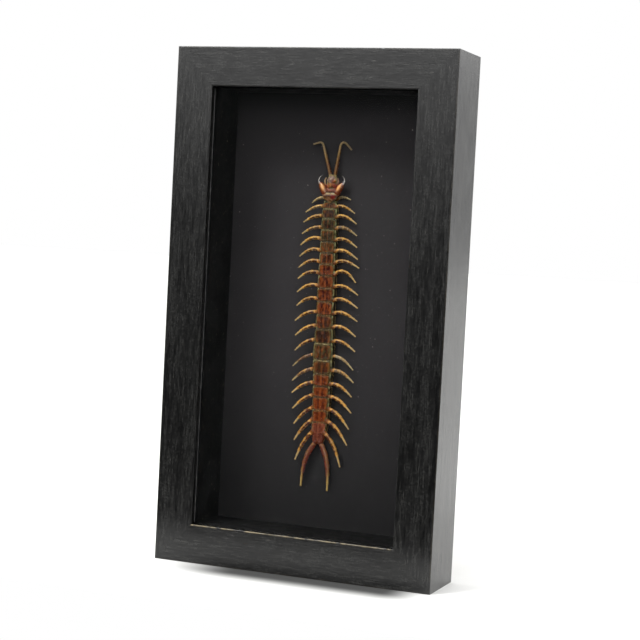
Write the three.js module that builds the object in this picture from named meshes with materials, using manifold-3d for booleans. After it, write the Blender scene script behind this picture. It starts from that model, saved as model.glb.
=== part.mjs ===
import * as THREE from 'three';
import { mergeVertices } from 'three/addons/utils/BufferGeometryUtils.js';
import Module from 'manifold-3d';

const wasm = await Module();
wasm.setup();

// A giant centipede, dried and mounted belly outwards in a glazed shadow-box frame.
// Lengths are millimetres and angles degrees. X is right, Y is back and Z is up.
// The origin is under the middle of the frame, which stands on its bottom rail.

const FRAME_HEIGHT = 300;
const FRAME_WIDTH = 170;
const FRAME_DEPTH = 41;
const RAIL_WIDTH = 22.7;
const LIP_DEPTH = 4;
const REBATE_WIDTH = 5.3;
const EASED_EDGE = 0.8;
const GLASS_THICKNESS = 2;
const CARD_DEPTH = 37.5;
const CARD_THICKNESS = 1;
const BOARD_THICKNESS = 1.8;
const GAP = 0.3;

const FRONT = -FRAME_DEPTH / 2;
const CARD_FACE = FRONT + CARD_DEPTH;

// Along the animal: the height of the trunk's front end, of the first legs and of the tail.
const TRUNK_TOP = 214.6;
const FIRST_LEGS = 216.8;
const TAIL_END = 73;
const PAIRS = 21;
const BODY_LIFT = 0.3;

// The trunk's centre line, by the distance behind the trunk's front end: it sways a little
// to the right on its way down and back at the tail.
const CENTRE_X = [[-4, 1.1], [0, 1], [45, 1.35], [100, 1.8], [120, 1.8], [131, 1.5], [141.6, 0.7]];

// From one pair of legs to the next, by the number of the upper pair.
const LEG_PITCH = [
  [1, 4.8], [2, 5.7], [3, 6.7], [7, 6.6], [8, 7.5], [11, 8], [13, 8.8], [16, 7.5], [19, 7.3], [20, 5.1],
];

// How far behind a pair of legs the soft band lies, by the number of the pair.
const BAND_BEHIND_LEGS = [
  [1, 1.3], [9, 1.2], [11, 1.5], [13, 1.7], [14, 2.8], [15, 2.4], [16, 1.6], [17, 0.4], [18, 0.9], [20, 0.3],
];

// Half the trunk's width and its thickness, by the distance behind the trunk's front end.
const HALF_WIDTH = [
  [0, 4], [4, 4.8], [17, 5.1], [35, 5.3], [51, 5.7], [73, 5.8], [84, 6.4], [92, 6.6], [99, 6.4], [105, 5.8],
  [115, 5.7], [126, 5.3], [131.5, 5.1], [135, 4.6], [138.6, 3.6], [142.5, 2.9],
];
const THICKNESS = [[0, 4.4], [10, 5.2], [90, 5.6], [125, 5.2], [138, 4.4], [142.5, 3.2]];

// Half of the trunk's section from the middle of the belly to the middle of the back:
// the belly plate, the step down to the soft side, the side and the back plate.
const TRUNK_SECTION = [
  [0, 1], [0.3, 1], [0.56, 0.95], [0.64, 0.82], [0.84, 0.78],
  [0.97, 0.58], [1, 0.4], [0.86, 0.2], [0.5, 0.06], [0, 0],
];

// The trunk's first length runs on as a low neck under the plate that carries the poison claws.
const NECK = { top: 218.6, bottom: 211, halfWidth: 4.3, low: 0.3, high: 2.3 };

// Legs: how far the tip lies from the root, how far below level, and how much the leg bends.
const LEG_REACH = {
  left: [
    [1, 9.2], [2, 12], [3, 12.8], [5, 13.7], [7, 14.2], [10, 14.2], [11, 15.2], [13, 14.6],
    [14, 15.4], [18, 16], [19, 17.2], [20, 20.4], [21, 28.6],
  ],
  right: [
    [1, 7.6], [2, 11.8], [3, 12.8], [5, 13.6], [7, 15], [11, 15.2], [13, 14.6], [16, 14.9],
    [17, 16.2], [18, 17], [19, 18.4], [20, 22], [21, 29.2],
  ],
};
const LEG_SWING = {
  left: [[1, 22], [2, 21], [8, 19], [10, 22], [13, 31], [16, 33], [17, 36], [19, 50], [20, 60], [21, 73.5]],
  right: [
    [1, 5], [2, 19], [6, 19], [9, 18], [11, 17], [12, 21], [15, 27], [16, 29], [17, 34.5],
    [18, 42], [19, 47.5], [20, 63], [21, 80],
  ],
};
const LEG_CURL = {
  left: [
    [1, 44], [2, 30], [4, 34], [5, 58], [10, 52], [12, 34], [16, 34], [17, 27], [19, 18], [20, 20], [21, 36],
  ],
  right: [[1, 60], [2, 58], [4, 60], [12, 58], [16, 56], [17, 50], [19, 42], [21, 40]],
};
const LEG_THICKNESS = [[1, 0.95], [3, 1.16], [17, 1.24], [20, 1.34], [21, 1.7]];

// Legs that dried out of line with their neighbours.
const LEG_QUIRKS = {
  leg_right_07: { swing: -7 },
  leg_right_08: { reach: -1.4, swing: 4, curl: 48 },
  leg_right_14: { swing: 7, thickness: -0.2 },
  leg_left_14: { thickness: -0.2 },
  leg_left_16: { swing: -4 },
};

// A leg's articles: where each ends along the leg, with its radius at the near and far end.
const LEG_ARTICLES = [
  { end: 0.27, near: 0.68, far: 0.8 },
  { end: 0.48, near: 0.68, far: 0.74 },
  { end: 0.67, near: 0.58, far: 0.64 },
  { end: 0.82, near: 0.5, far: 0.5 },
  { end: 0.96, near: 0.42, far: 0.34 },
];
const LEG_SIDES = 6;
const LEG_ROOT_HEIGHT = 3.6;
const FIRST_ROOT_HEIGHT = 1.5;
const LEG_ARCH = 0.6;
const LEG_DROP = 1;
const COXA_LENGTH = 0.7;
const COXA_RADIUS = 0.95;
const COXA_SUNK = 2.2;

// Head, poison claws and feelers.
const HEAD_X = 1.3;
const PLATE_FRONT = 219;
const PLATE_BACK = 214.9;
const HEAD_FRONT = 230.4;
const FEELER = {
  left: { x: -1.55, length: 25.4, lean: 17, tipLean: 106, bendFrom: 0.7, bendTo: 0.86 },
  right: { x: 1.35, length: 27.3, lean: 8, tipLean: 136, bendFrom: 0.62, bendTo: 0.84 },
};
const FEELER_ARTICLES = 17;
const FEELER_RADIUS = 1.02;
const FEELER_TIP_RADIUS = 0.5;
const FEELER_ROOT_HEIGHT = 2.1;
const TOOTH_PLATE = {
  inner: 0.25, width: 1.9, deep: 1, long: 1.8, height: 4.9, teeth: 4, toothRadius: 0.3, toothLength: 0.9,
};
const EYE_RADIUS = 0.34;
const LAST_ROOT = { apart: 1.75, height: 2.6 };

const radians = THREE.MathUtils.degToRad;

// Straight-line values between named stations.
function along(stations, t) {
  const last = stations.length - 1;
  if (t <= stations[0][0]) return stations[0][1];
  if (t >= stations[last][0]) return stations[last][1];
  const k = stations.findIndex(([at]) => at > t);
  const [from, low] = stations[k - 1];
  const [to, high] = stations[k];
  return low + ((high - low) * (t - from)) / (to - from);
}

// A point over the card: across, up, and how far it stands off the card.
function over(x, z, height) {
  return new THREE.Vector3(x, CARD_FACE - height, z);
}

function centreX(z) {
  return along(CENTRE_X, TRUNK_TOP - z);
}

// The heights of the leg pairs, and of the soft bands behind them.
const legHeights = [FIRST_LEGS];
for (let pair = 1; pair < PAIRS; pair += 1) legHeights.push(legHeights[pair - 1] - along(LEG_PITCH, pair));
const bandHeights = legHeights.map((z, k) => z - along(BAND_BEHIND_LEGS, k + 1));

function middle(ring) {
  return ring.reduce((sum, p) => sum.add(p), new THREE.Vector3()).divideScalar(ring.length);
}

// Turns every face outwards, judged by the sign of the enclosed volume.
function facingOut(geometry) {
  const p = geometry.attributes.position;
  const index = geometry.index.array;
  const [a, b, c] = [new THREE.Vector3(), new THREE.Vector3(), new THREE.Vector3()];
  let volume = 0;
  for (let i = 0; i < index.length; i += 3) {
    a.fromBufferAttribute(p, index[i]);
    b.fromBufferAttribute(p, index[i + 1]);
    c.fromBufferAttribute(p, index[i + 2]);
    volume += a.dot(b.cross(c));
  }
  if (volume > 0) return geometry;
  for (let i = 0; i < index.length; i += 3) {
    [index[i], index[i + 1]] = [index[i + 1], index[i]];
  }
  return geometry;
}

// A closed body through rings of one count. An end ring is capped about its middle,
// and a ring of one point is a tip.
function loft(rings) {
  const all = [...rings];
  if (all[0].length > 1) all.unshift([middle(all[0])]);
  if (all.at(-1).length > 1) all.push([middle(all.at(-1))]);
  const sides = all[1].length;
  const positions = [];
  const starts = [];
  for (const ring of all) {
    starts.push(positions.length / 3);
    for (const p of ring) positions.push(p.x, p.y, p.z);
  }
  const index = [];
  for (let k = 0; k + 1 < all.length; k += 1) {
    const near = (i) => starts[k] + (all[k].length > 1 ? i : 0);
    const far = (i) => starts[k + 1] + (all[k + 1].length > 1 ? i : 0);
    for (let i = 0; i < sides; i += 1) {
      const j = (i + 1) % sides;
      if (all[k].length > 1) index.push(near(i), near(j), far(j));
      if (all[k + 1].length > 1) index.push(near(i), far(j), far(i));
    }
  }
  const geometry = new THREE.BufferGeometry();
  geometry.setAttribute('position', new THREE.Float32BufferAttribute(positions, 3));
  geometry.setIndex(index);
  return facingOut(geometry);
}

// A ring about a point, in the plane of the depth and the given direction across.
function ringAbout(centre, across, radius, sides, depthRadius = radius) {
  const ring = [];
  for (let i = 0; i < sides; i += 1) {
    const angle = (2 * Math.PI * (i + 0.5)) / sides;
    const p = centre.clone().addScaledVector(across, radius * Math.cos(angle));
    p.y -= depthRadius * Math.sin(angle);
    ring.push(p);
  }
  return ring;
}

// The direction across a run in the plane of the card.
function acrossOf(direction) {
  return new THREE.Vector3(direction.z, 0, -direction.x).normalize();
}

function solid(geometry) {
  const plain = new THREE.BufferGeometry();
  plain.setAttribute('position', geometry.attributes.position.clone());
  if (geometry.index) plain.setIndex([...geometry.index.array]);
  const merged = mergeVertices(plain, 1e-4);
  return new wasm.Manifold(new wasm.Mesh({
    numProp: 3,
    vertProperties: new Float32Array(merged.attributes.position.array),
    triVerts: new Uint32Array(merged.index.array),
  }));
}

// Joins pieces, cuts others away, and keeps the largest closed surface.
function fuse(pieces, cutters = []) {
  let body = pieces.map(solid).reduce((sum, piece) => sum.add(piece));
  for (const cutter of cutters) body = body.subtract(solid(cutter));
  const largest = body.decompose().sort((a, b) => b.volume() - a.volume())[0];
  const mesh = largest.getMesh();
  const geometry = new THREE.BufferGeometry();
  geometry.setAttribute('position', new THREE.Float32BufferAttribute(mesh.vertProperties, 3));
  geometry.setIndex([...mesh.triVerts]);
  return geometry;
}

// Frame

// A rail's section: u runs from its outer side to the opening, v from the front to the back.
function railShape() {
  const back = FRAME_DEPTH;
  const deepWidth = RAIL_WIDTH - REBATE_WIDTH;
  const shape = new THREE.Shape();
  shape.moveTo(EASED_EDGE, 0);
  shape.lineTo(RAIL_WIDTH - EASED_EDGE, 0);
  shape.lineTo(RAIL_WIDTH, EASED_EDGE);
  shape.lineTo(RAIL_WIDTH, LIP_DEPTH);
  shape.lineTo(deepWidth, LIP_DEPTH);
  shape.lineTo(deepWidth, back);
  shape.lineTo(EASED_EDGE, back);
  shape.lineTo(0, back - EASED_EDGE);
  shape.lineTo(0, EASED_EDGE);
  shape.closePath();
  return shape;
}

// A rail stands along Z with its outer side at X 0. Both ends are cut at 45 degrees,
// with half a gap taken off each.
function railGeometry(length) {
  const geometry = new THREE.ExtrudeGeometry(railShape(), { depth: length, bevelEnabled: false });
  geometry.deleteAttribute('normal');
  geometry.deleteAttribute('uv');
  const p = geometry.attributes.position;
  const cut = (GAP / 2) * Math.SQRT2;
  for (let i = 0; i < p.count; i += 1) {
    const inset = p.getX(i) + cut;
    p.setZ(i, p.getZ(i) > length / 2 ? length - inset : inset);
  }
  return geometry;
}

// A flat panel behind the lip, from one depth to another.
function panelGeometry(width, height, from, to) {
  const geometry = new THREE.BoxGeometry(width, to - from, height);
  geometry.translate(0, (from + to) / 2, 0);
  return geometry;
}

// The strips that hold the glass forward, as one ring flush with the lip.
function linerGeometry(width, height, depth) {
  const shape = new THREE.Shape();
  const outline = (path, w, h) => {
    path.moveTo(-w / 2, -h / 2);
    path.lineTo(w / 2, -h / 2);
    path.lineTo(w / 2, h / 2);
    path.lineTo(-w / 2, h / 2);
    path.closePath();
  };
  outline(shape, width, height);
  const opening = new THREE.Path();
  outline(opening, FRAME_WIDTH - 2 * RAIL_WIDTH, FRAME_HEIGHT - 2 * RAIL_WIDTH);
  shape.holes.push(opening);
  const geometry = new THREE.ExtrudeGeometry(shape, { depth, bevelEnabled: false });
  return geometry.rotateX(Math.PI / 2);
}

// Trunk

function trunkRing(z, widthScale, thickScale) {
  const behind = TRUNK_TOP - z;
  const width = along(HALF_WIDTH, behind) * widthScale;
  const thickness = along(THICKNESS, behind);
  const place = ([a, h], side) => over(
    centreX(z) + side * a * width,
    z,
    BODY_LIFT + thickness * (0.5 + (h - 0.5) * thickScale),
  );
  const right = TRUNK_SECTION.map((corner) => place(corner, 1));
  const left = TRUNK_SECTION.slice(1, -1).map((corner) => place(corner, -1)).reverse();
  return [...right, ...left];
}

// Everything above or below a height, for parting one length from the next.
function slab(z, up) {
  const size = 60;
  const box = new THREE.BoxGeometry(size, size, size);
  return box.translate(0, CARD_FACE, z + (up ? size / 2 : -size / 2));
}

// Rings from one height down to another. Each plate is full from just behind its front edge
// to its rear edge, and the band behind it is drawn in.
function trunkRings(from, to) {
  const bands = bandHeights.filter((z) => z < from - GAP && z > to + GAP);
  const edges = [from, ...bands, to];
  const rings = [trunkRing(from, 0.92, 0.84)];
  for (let k = 0; k + 1 < edges.length; k += 1) {
    const [front, rear] = [edges[k], edges[k + 1]];
    const plate = front - rear;
    rings.push(trunkRing(front - 0.14 * plate, 0.97, 0.97));
    rings.push(trunkRing(front - 0.5 * plate, 1, 1));
    rings.push(trunkRing(rear + 0.16 * plate, 1.01, 1));
    rings.push(trunkRing(rear, 0.93, 0.84));
  }
  return rings;
}

// The low neck, whose sides carry the first legs.
function neckGeometry() {
  const { top, bottom, halfWidth, low, high } = NECK;
  return loft([
    ovalRing(top, halfWidth * 0.86, low + 0.1, high - 0.1, 12),
    ovalRing(top - 1, halfWidth, low, high, 12),
    ovalRing(bottom, halfWidth, low, high, 12),
  ]);
}

// Legs

function sideSign(side) {
  return side === 'left' ? -1 : 1;
}

function nodeName(kind, side, pair) {
  return `${kind}_${side}_${String(pair).padStart(2, '0')}`;
}

function legSizes(side, pair) {
  const quirk = LEG_QUIRKS[nodeName('leg', side, pair)] ?? {};
  return {
    reach: along(LEG_REACH[side], pair) + (quirk.reach ?? 0),
    swing: along(LEG_SWING[side], pair) + (quirk.swing ?? 0),
    curl: along(LEG_CURL[side], pair) + (quirk.curl ?? 0),
    thickness: along(LEG_THICKNESS, pair) + (quirk.thickness ?? 0),
  };
}

// Where a leg leaves the trunk. The last pair leaves the tail's end, side by side.
function legRoot(side, pair) {
  const z = legHeights[pair - 1];
  const sign = sideSign(side);
  if (pair === PAIRS) {
    return over(centreX(TAIL_END) + sign * LAST_ROOT.apart, TAIL_END, LAST_ROOT.height);
  }
  if (pair === 1) return over(centreX(z) + sign * NECK.halfWidth, z, FIRST_ROOT_HEIGHT);
  const width = along(HALF_WIDTH, TRUNK_TOP - z);
  return over(centreX(z) + sign * width, z, LEG_ROOT_HEIGHT);
}

// A leg bends most near its root and less towards its tip. The bent line is then
// turned and scaled so that its tip lies at the leg's reach and swing.
function legCurve(side, pair) {
  const { reach, swing, curl } = legSizes(side, pair);
  const steps = 24;
  const flat = [new THREE.Vector2()];
  for (let k = 0; k < steps; k += 1) {
    const s = (k + 0.5) / steps;
    const turned = radians(curl) * (1 - s) * (1 - s);
    flat.push(flat[k].clone().add(new THREE.Vector2(Math.cos(turned), Math.sin(turned))));
  }
  const tip = flat[steps];
  const scale = reach / tip.length();
  const turn = -radians(swing) - tip.angle();
  const root = legRoot(side, pair);
  const points = flat.map((p, k) => {
    const s = k / steps;
    const spot = p.clone().rotateAround(new THREE.Vector2(), turn).multiplyScalar(scale);
    const rise = LEG_ARCH * Math.sin(Math.PI * s) - LEG_DROP * s * s;
    return new THREE.Vector3(root.x + sideSign(side) * spot.x, root.y - rise, root.z + spot.y);
  });
  return new THREE.CatmullRomCurve3(points);
}

// The stub on the trunk that carries a leg.
function coxaGeometry(side, pair) {
  const curve = legCurve(side, pair);
  const root = curve.getPointAt(0);
  const direction = curve.getTangentAt(0).setY(0).normalize();
  const across = acrossOf(direction);
  const scale = legSizes(side, pair).thickness;
  const inner = root.clone().addScaledVector(direction, -COXA_SUNK);
  const outer = root.clone().addScaledVector(direction, COXA_LENGTH);
  return loft([
    ringAbout(inner, across, COXA_RADIUS * 1.25 * scale, LEG_SIDES),
    ringAbout(outer, across, COXA_RADIUS * scale, LEG_SIDES),
  ]);
}

// A leg's rings stand at the near and far end of each article. The claw ends in a point.
function legGeometry(side, pair) {
  const curve = legCurve(side, pair);
  const { thickness } = legSizes(side, pair);
  const length = curve.getLength();
  const start = (COXA_LENGTH + GAP) / length;
  const direction = curve.getTangentAt(0).setY(0).normalize();
  const rings = [];
  let from = 0;
  for (const { end, near, far } of LEG_ARTICLES) {
    for (const [s, radius] of [[from + 0.03, near], [end - 0.02, far]]) {
      const at = start + (1 - start) * s;
      const tangent = from === 0 && s < 0.1 ? direction : curve.getTangentAt(at).setY(0).normalize();
      const spot = from === 0 && s < 0.1
        ? curve.getPointAt(0).addScaledVector(direction, COXA_LENGTH + GAP)
        : curve.getPointAt(at);
      rings.push(ringAbout(spot, acrossOf(tangent), radius * thickness, LEG_SIDES));
    }
    from = end;
  }
  rings.push([curve.getPointAt(1)]);
  return loft(rings);
}

// Head

function headPoint(side, offset, z, height) {
  return over(HEAD_X + sideSign(side) * offset, z, height);
}

// A body round a bent line: its radius goes through the given values at equal steps.
function tube(points, radii, sides, flatten = 1, extra = 0) {
  const curve = new THREE.CatmullRomCurve3(points);
  const steps = radii.length - 1;
  const rings = radii.map((radius, k) => {
    const spot = curve.getPointAt(k / steps);
    if (radius === 0 && extra === 0) return [spot];
    const tangent = curve.getTangentAt(k / steps).setY(0).normalize();
    return ringAbout(spot, acrossOf(tangent), radius + extra, sides, radius * flatten + extra);
  });
  return loft(rings);
}

// A poison claw: a stout first article, two short ones and the curved fang.
function forcipuleGeometry(side, extra = 0) {
  const points = [
    headPoint(side, 3.3, 218, 4),
    headPoint(side, 4.2, 220.2, 4.1),
    headPoint(side, 5.2, 222.3, 4.1),
    headPoint(side, 6.3, 224.2, 4),
    headPoint(side, 7.4, 225.5, 3.8),
    headPoint(side, 8, 227, 3.6),
    headPoint(side, 7.6, 228.4, 3.4),
    headPoint(side, 6.6, 229.3, 3.2),
    headPoint(side, 5.4, 229.7, 3.1),
  ];
  const radii = [1.55, 1.78, 1.88, 1.95, 1.92, 1.8, 1.35, 0.9, 0.64, 0.48, 0.34, 0];
  return tube(points, radii, 10, 0.75, extra);
}

// A flat oval section for the head and the plate behind it.
function ovalRing(z, width, low, high, sides = 14) {
  const centre = over(HEAD_X, z, (low + high) / 2);
  return ringAbout(centre, new THREE.Vector3(1, 0, 0), width, sides, (high - low) / 2);
}

// The tooth plates stand forward of the plate's front edge, one on each side of its middle.
function toothPlate(side) {
  const { inner, width, deep, long, height, teeth, toothRadius, toothLength } = TOOTH_PLATE;
  const spot = (offset, z) => headPoint(side, offset, z, height);
  const box = new THREE.BoxGeometry(width, deep, long);
  const pieces = [box.translate(...spot(inner + width / 2, PLATE_FRONT + 0.2))];
  const tips = PLATE_FRONT + 0.2 + (long + toothLength) / 2;
  for (let k = 0; k < teeth; k += 1) {
    const tooth = new THREE.ConeGeometry(toothRadius, toothLength, 6).rotateX(Math.PI / 2);
    pieces.push(tooth.translate(...spot(inner + (width * (k + 0.5)) / teeth, tips)));
  }
  return pieces;
}

function forcipularPlateGeometry() {
  const low = NECK.high + GAP;
  const body = loft([
    ovalRing(PLATE_BACK, 2.2, low, 5),
    ovalRing(PLATE_BACK + 1.6, 4, low, 5.6),
    ovalRing(PLATE_FRONT - 0.8, 5.2, low, 5.8),
    ovalRing(PLATE_FRONT, 4.7, low, 5.6),
  ]);
  const cutters = ['left', 'right'].map((side) => forcipuleGeometry(side, GAP));
  return fuse([body, ...toothPlate('left'), ...toothPlate('right')], cutters);
}

// The second jaws' feelers curve forward on each side of the mouth.
function palpGeometry(side) {
  const points = [
    headPoint(side, 1.6, 222.3, 3.5),
    headPoint(side, 3.5, 224.2, 3.9),
    headPoint(side, 4.3, 226.4, 3.9),
    headPoint(side, 3.4, 228.8, 3.6),
  ];
  return tube(points, [0.55, 0.55, 0.5, 0.46, 0.4, 0.3], 6);
}

function ocelli(side) {
  const places = [[2.85, 227.6, 1.3], [2.7, 228.2, 1.8], [2.45, 228.7, 1.3], [2.9, 227.1, 1.9]];
  return places.map(([offset, z, height]) => {
    const eye = new THREE.IcosahedronGeometry(EYE_RADIUS, 1);
    const spot = headPoint(side, offset, z, height);
    return eye.translate(spot.x, spot.y, spot.z);
  });
}

function headGeometry() {
  const low = 0.5;
  const shell = loft([
    ovalRing(PLATE_FRONT + GAP, 2.6, low, 3.9),
    ovalRing(221.3, 3.2, low, 4),
    ovalRing(223.5, 3.35, low, 4),
    ovalRing(226, 3.25, low, 3.9),
    ovalRing(228, 2.9, low, 3.7),
    ovalRing(229.5, 2.3, low + 0.1, 3.5),
    ovalRing(HEAD_FRONT, 1.4, low + 0.3, 3.2),
  ]);
  const mouth = new THREE.IcosahedronGeometry(1, 2);
  mouth.scale(2.7, 1.3, 3.9);
  const spot = over(HEAD_X, 225.7, 3.5);
  mouth.translate(spot.x, spot.y, spot.z);
  const pieces = [shell, mouth];
  for (const side of ['left', 'right']) pieces.push(palpGeometry(side), feelerSocket(side), ...ocelli(side));
  const cutters = ['left', 'right'].map((side) => forcipuleGeometry(side, GAP));
  return fuse(pieces, cutters);
}

// Feelers

// A feeler runs straight from the head, leaning outwards, then bends over towards its tip.
function feelerCurve(side) {
  const { x, length, lean, tipLean, bendFrom, bendTo } = FEELER[side];
  const steps = 54;
  const points = [over(HEAD_X + x, HEAD_FRONT - 0.3, FEELER_ROOT_HEIGHT)];
  for (let k = 0; k < steps; k += 1) {
    const s = (k + 0.5) / steps;
    const bend = THREE.MathUtils.smoothstep(s, bendFrom, bendTo);
    const angle = radians(lean + (tipLean - lean) * bend);
    const step = new THREE.Vector3(sideSign(side) * Math.sin(angle), 0, Math.cos(angle));
    points.push(points[k].clone().addScaledVector(step, length / steps));
  }
  return new THREE.CatmullRomCurve3(points);
}

function feelerSocket(side) {
  const curve = feelerCurve(side);
  const direction = curve.getTangentAt(0);
  const root = curve.getPointAt(0);
  const across = acrossOf(direction);
  return loft([
    ringAbout(root.clone().addScaledVector(direction, -1.8), across, 1.25, 8),
    ringAbout(root.clone().addScaledVector(direction, 0.3), across, 1.08, 8),
  ]);
}

function feelerGeometry(side) {
  const curve = feelerCurve(side);
  const start = (0.3 + GAP) / curve.getLength();
  const rings = [];
  for (let k = 0; k < FEELER_ARTICLES; k += 1) {
    const radius = THREE.MathUtils.lerp(FEELER_RADIUS, FEELER_TIP_RADIUS, k / (FEELER_ARTICLES - 1));
    for (const [part, scale] of [[0.1, 0.86], [0.85, 1]]) {
      const s = k === 0 && part < 0.5 ? 0 : (k + part) / FEELER_ARTICLES;
      const at = start + (1 - start) * s;
      const across = acrossOf(curve.getTangentAt(at));
      rings.push(ringAbout(curve.getPointAt(at), across, radius * scale, LEG_SIDES));
    }
  }
  rings.push([curve.getPointAt(1)]);
  return loft(rings);
}

// Tail: the last belly plate between two swollen side pieces, each with a short spur.
function tailPieces() {
  const top = bandHeights[PAIRS - 2] - GAP / 2;
  const rings = [
    trunkRing(top, 0.92, 0.84),
    trunkRing(top - 0.7, 0.98, 1),
    trunkRing(top - 2.2, 0.95, 1),
    trunkRing(TAIL_END + 0.4, 0.8, 0.8),
  ];
  const pieces = [loft(rings)];
  for (const side of ['left', 'right']) {
    const x = centreX(TAIL_END);
    const sign = sideSign(side);
    const swelling = new THREE.IcosahedronGeometry(1, 1);
    swelling.scale(1.5, 1.7, 3);
    const spot = over(x + sign * 1.8, TAIL_END + 2.3, 2.5);
    swelling.translate(spot.x, spot.y, spot.z);
    const spur = new THREE.ConeGeometry(0.4, 1.5, 6);
    spur.rotateX(-Math.PI / 2);
    const spurSpot = over(x + sign * 0.85, TAIL_END - 0.25, 3);
    spur.translate(spurSpot.x, spurSpot.y, spurSpot.z);
    pieces.push(swelling, spur);
  }
  return pieces;
}

// Materials and scene

const finishes = {
  wood: { color: 0x1d1d1e, roughness: 0.55, metalness: 0 },
  glass: { color: 0xdfe8e8, roughness: 0.02, metalness: 0, transparent: true, opacity: 0.15 },
  liner: { color: 0x101011, roughness: 0.6, metalness: 0 },
  card: { color: 0x2f2c2e, roughness: 0.9, metalness: 0 },
  board: { color: 0x6b5138, roughness: 0.8, metalness: 0 },
  plates: { color: 0x5a2412, roughness: 0.35, metalness: 0 },
  tail: { color: 0x7a3020, roughness: 0.35, metalness: 0 },
  legs: { color: 0xb07a3a, roughness: 0.4, metalness: 0 },
  lastLegs: { color: 0x7a4228, roughness: 0.4, metalness: 0 },
  head: { color: 0x8f6a52, roughness: 0.35, metalness: 0 },
  fangs: { color: 0xb0601f, roughness: 0.25, metalness: 0 },
  feelers: { color: 0x8a6a4a, roughness: 0.45, metalness: 0 },
};

const shadowBox = new THREE.Group();

function add(name, geometry, finish, parent = shadowBox) {
  const mesh = new THREE.Mesh(geometry, new THREE.MeshStandardMaterial(finishes[finish]));
  mesh.name = name;
  parent.add(mesh);
  return mesh;
}

// Each rail is turned a further quarter about the depth axis.
const frame = new THREE.Group();
const rails = [
  { name: 'rail_left', length: FRAME_HEIGHT, corner: [-1, 0], turns: 0 },
  { name: 'rail_top', length: FRAME_WIDTH, corner: [-1, 1], turns: 1 },
  { name: 'rail_right', length: FRAME_HEIGHT, corner: [1, 1], turns: 2 },
  { name: 'rail_bottom', length: FRAME_WIDTH, corner: [1, 0], turns: 3 },
];
for (const { name, length, corner, turns } of rails) {
  const rail = add(name, railGeometry(length), 'wood', frame);
  rail.position.set((corner[0] * FRAME_WIDTH) / 2, FRONT, corner[1] * FRAME_HEIGHT);
  rail.rotation.y = (turns * Math.PI) / 2;
}
shadowBox.add(frame);

// The glass, its liner, the card and the back board fill the rebate, one behind another.
const filling = new THREE.Group();
filling.position.z = FRAME_HEIGHT / 2;
const fillWidth = FRAME_WIDTH - 2 * (RAIL_WIDTH - REBATE_WIDTH + GAP);
const fillHeight = FRAME_HEIGHT - 2 * (RAIL_WIDTH - REBATE_WIDTH + GAP);
const glassFront = FRONT + LIP_DEPTH + GAP;
const linerFront = glassFront + GLASS_THICKNESS + GAP;
const linerBack = CARD_FACE - GAP;
const boardFront = CARD_FACE + CARD_THICKNESS + GAP;
const liner = add('liner', linerGeometry(fillWidth, fillHeight, linerBack - linerFront), 'liner', filling);
liner.position.y = linerBack;
const panel = (from, thickness) => panelGeometry(fillWidth, fillHeight, from, from + thickness);
add('glass', panel(glassFront, GLASS_THICKNESS), 'glass', filling);
add('backing_card', panel(CARD_FACE, CARD_THICKNESS), 'card', filling);
add('back_board', panel(boardFront, BOARD_THICKNESS), 'board', filling);
shadowBox.add(filling);

const centipede = new THREE.Group();
const lengths = [
  { name: 'trunk_front', first: 1, last: 7 },
  { name: 'trunk_middle', first: 8, last: 14 },
  { name: 'trunk_rear', first: 15, last: 20 },
];
for (const { name, first, last } of lengths) {
  const top = first === 1 ? TRUNK_TOP : bandHeights[first - 2] - GAP / 2;
  const bottom = bandHeights[last - 1] + GAP / 2;
  const pieces = [loft(trunkRings(top, bottom))];
  if (first === 1) pieces.push(neckGeometry());
  const cutters = first === 1 ? [slab(bottom, false)] : [slab(bottom, false), slab(top, true)];
  for (let pair = first; pair <= last; pair += 1) {
    pieces.push(coxaGeometry('left', pair), coxaGeometry('right', pair));
  }
  add(name, fuse(pieces, cutters), 'plates', centipede);
}
const tail = [...tailPieces(), coxaGeometry('left', PAIRS), coxaGeometry('right', PAIRS)];
add('tail_segment', fuse(tail, [slab(bandHeights[PAIRS - 2] - GAP / 2, true)]), 'tail', centipede);
add('forcipular_plate', forcipularPlateGeometry(), 'head', centipede);
add('head', headGeometry(), 'head', centipede);
for (const side of ['left', 'right']) {
  add(`forcipule_${side}`, forcipuleGeometry(side), 'fangs', centipede);
  add(`antenna_${side}`, feelerGeometry(side), 'feelers', centipede);
  for (let pair = 1; pair <= PAIRS; pair += 1) {
    const finish = pair >= PAIRS - 1 ? 'lastLegs' : 'legs';
    add(nodeName('leg', side, pair), legGeometry(side, pair), finish, centipede);
  }
}
shadowBox.add(centipede);

export default shadowBox;
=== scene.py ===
import math
import bpy
import numpy as np
from mathutils import Matrix


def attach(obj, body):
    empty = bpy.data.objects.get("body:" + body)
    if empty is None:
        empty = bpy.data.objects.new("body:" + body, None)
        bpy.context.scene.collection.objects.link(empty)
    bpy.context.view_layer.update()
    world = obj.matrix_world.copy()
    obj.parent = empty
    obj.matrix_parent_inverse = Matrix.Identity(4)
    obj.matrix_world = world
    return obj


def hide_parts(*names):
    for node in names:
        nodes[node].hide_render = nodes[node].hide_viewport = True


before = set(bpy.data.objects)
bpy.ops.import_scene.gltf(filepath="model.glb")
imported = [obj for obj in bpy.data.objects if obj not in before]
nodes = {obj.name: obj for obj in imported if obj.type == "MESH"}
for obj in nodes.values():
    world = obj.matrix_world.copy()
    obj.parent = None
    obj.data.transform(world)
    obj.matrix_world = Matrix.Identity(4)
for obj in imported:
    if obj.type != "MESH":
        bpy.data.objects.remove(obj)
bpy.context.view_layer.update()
print("frame loaded:", len(nodes), "nodes")

# Lengths are millimetres here and become metres when a mesh is made. X is right, Y is back, Z is up.
millimetre = 0.001
cardFace = 17.0  # the mounting card's face, and heights h are measured off it towards the glass


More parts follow.
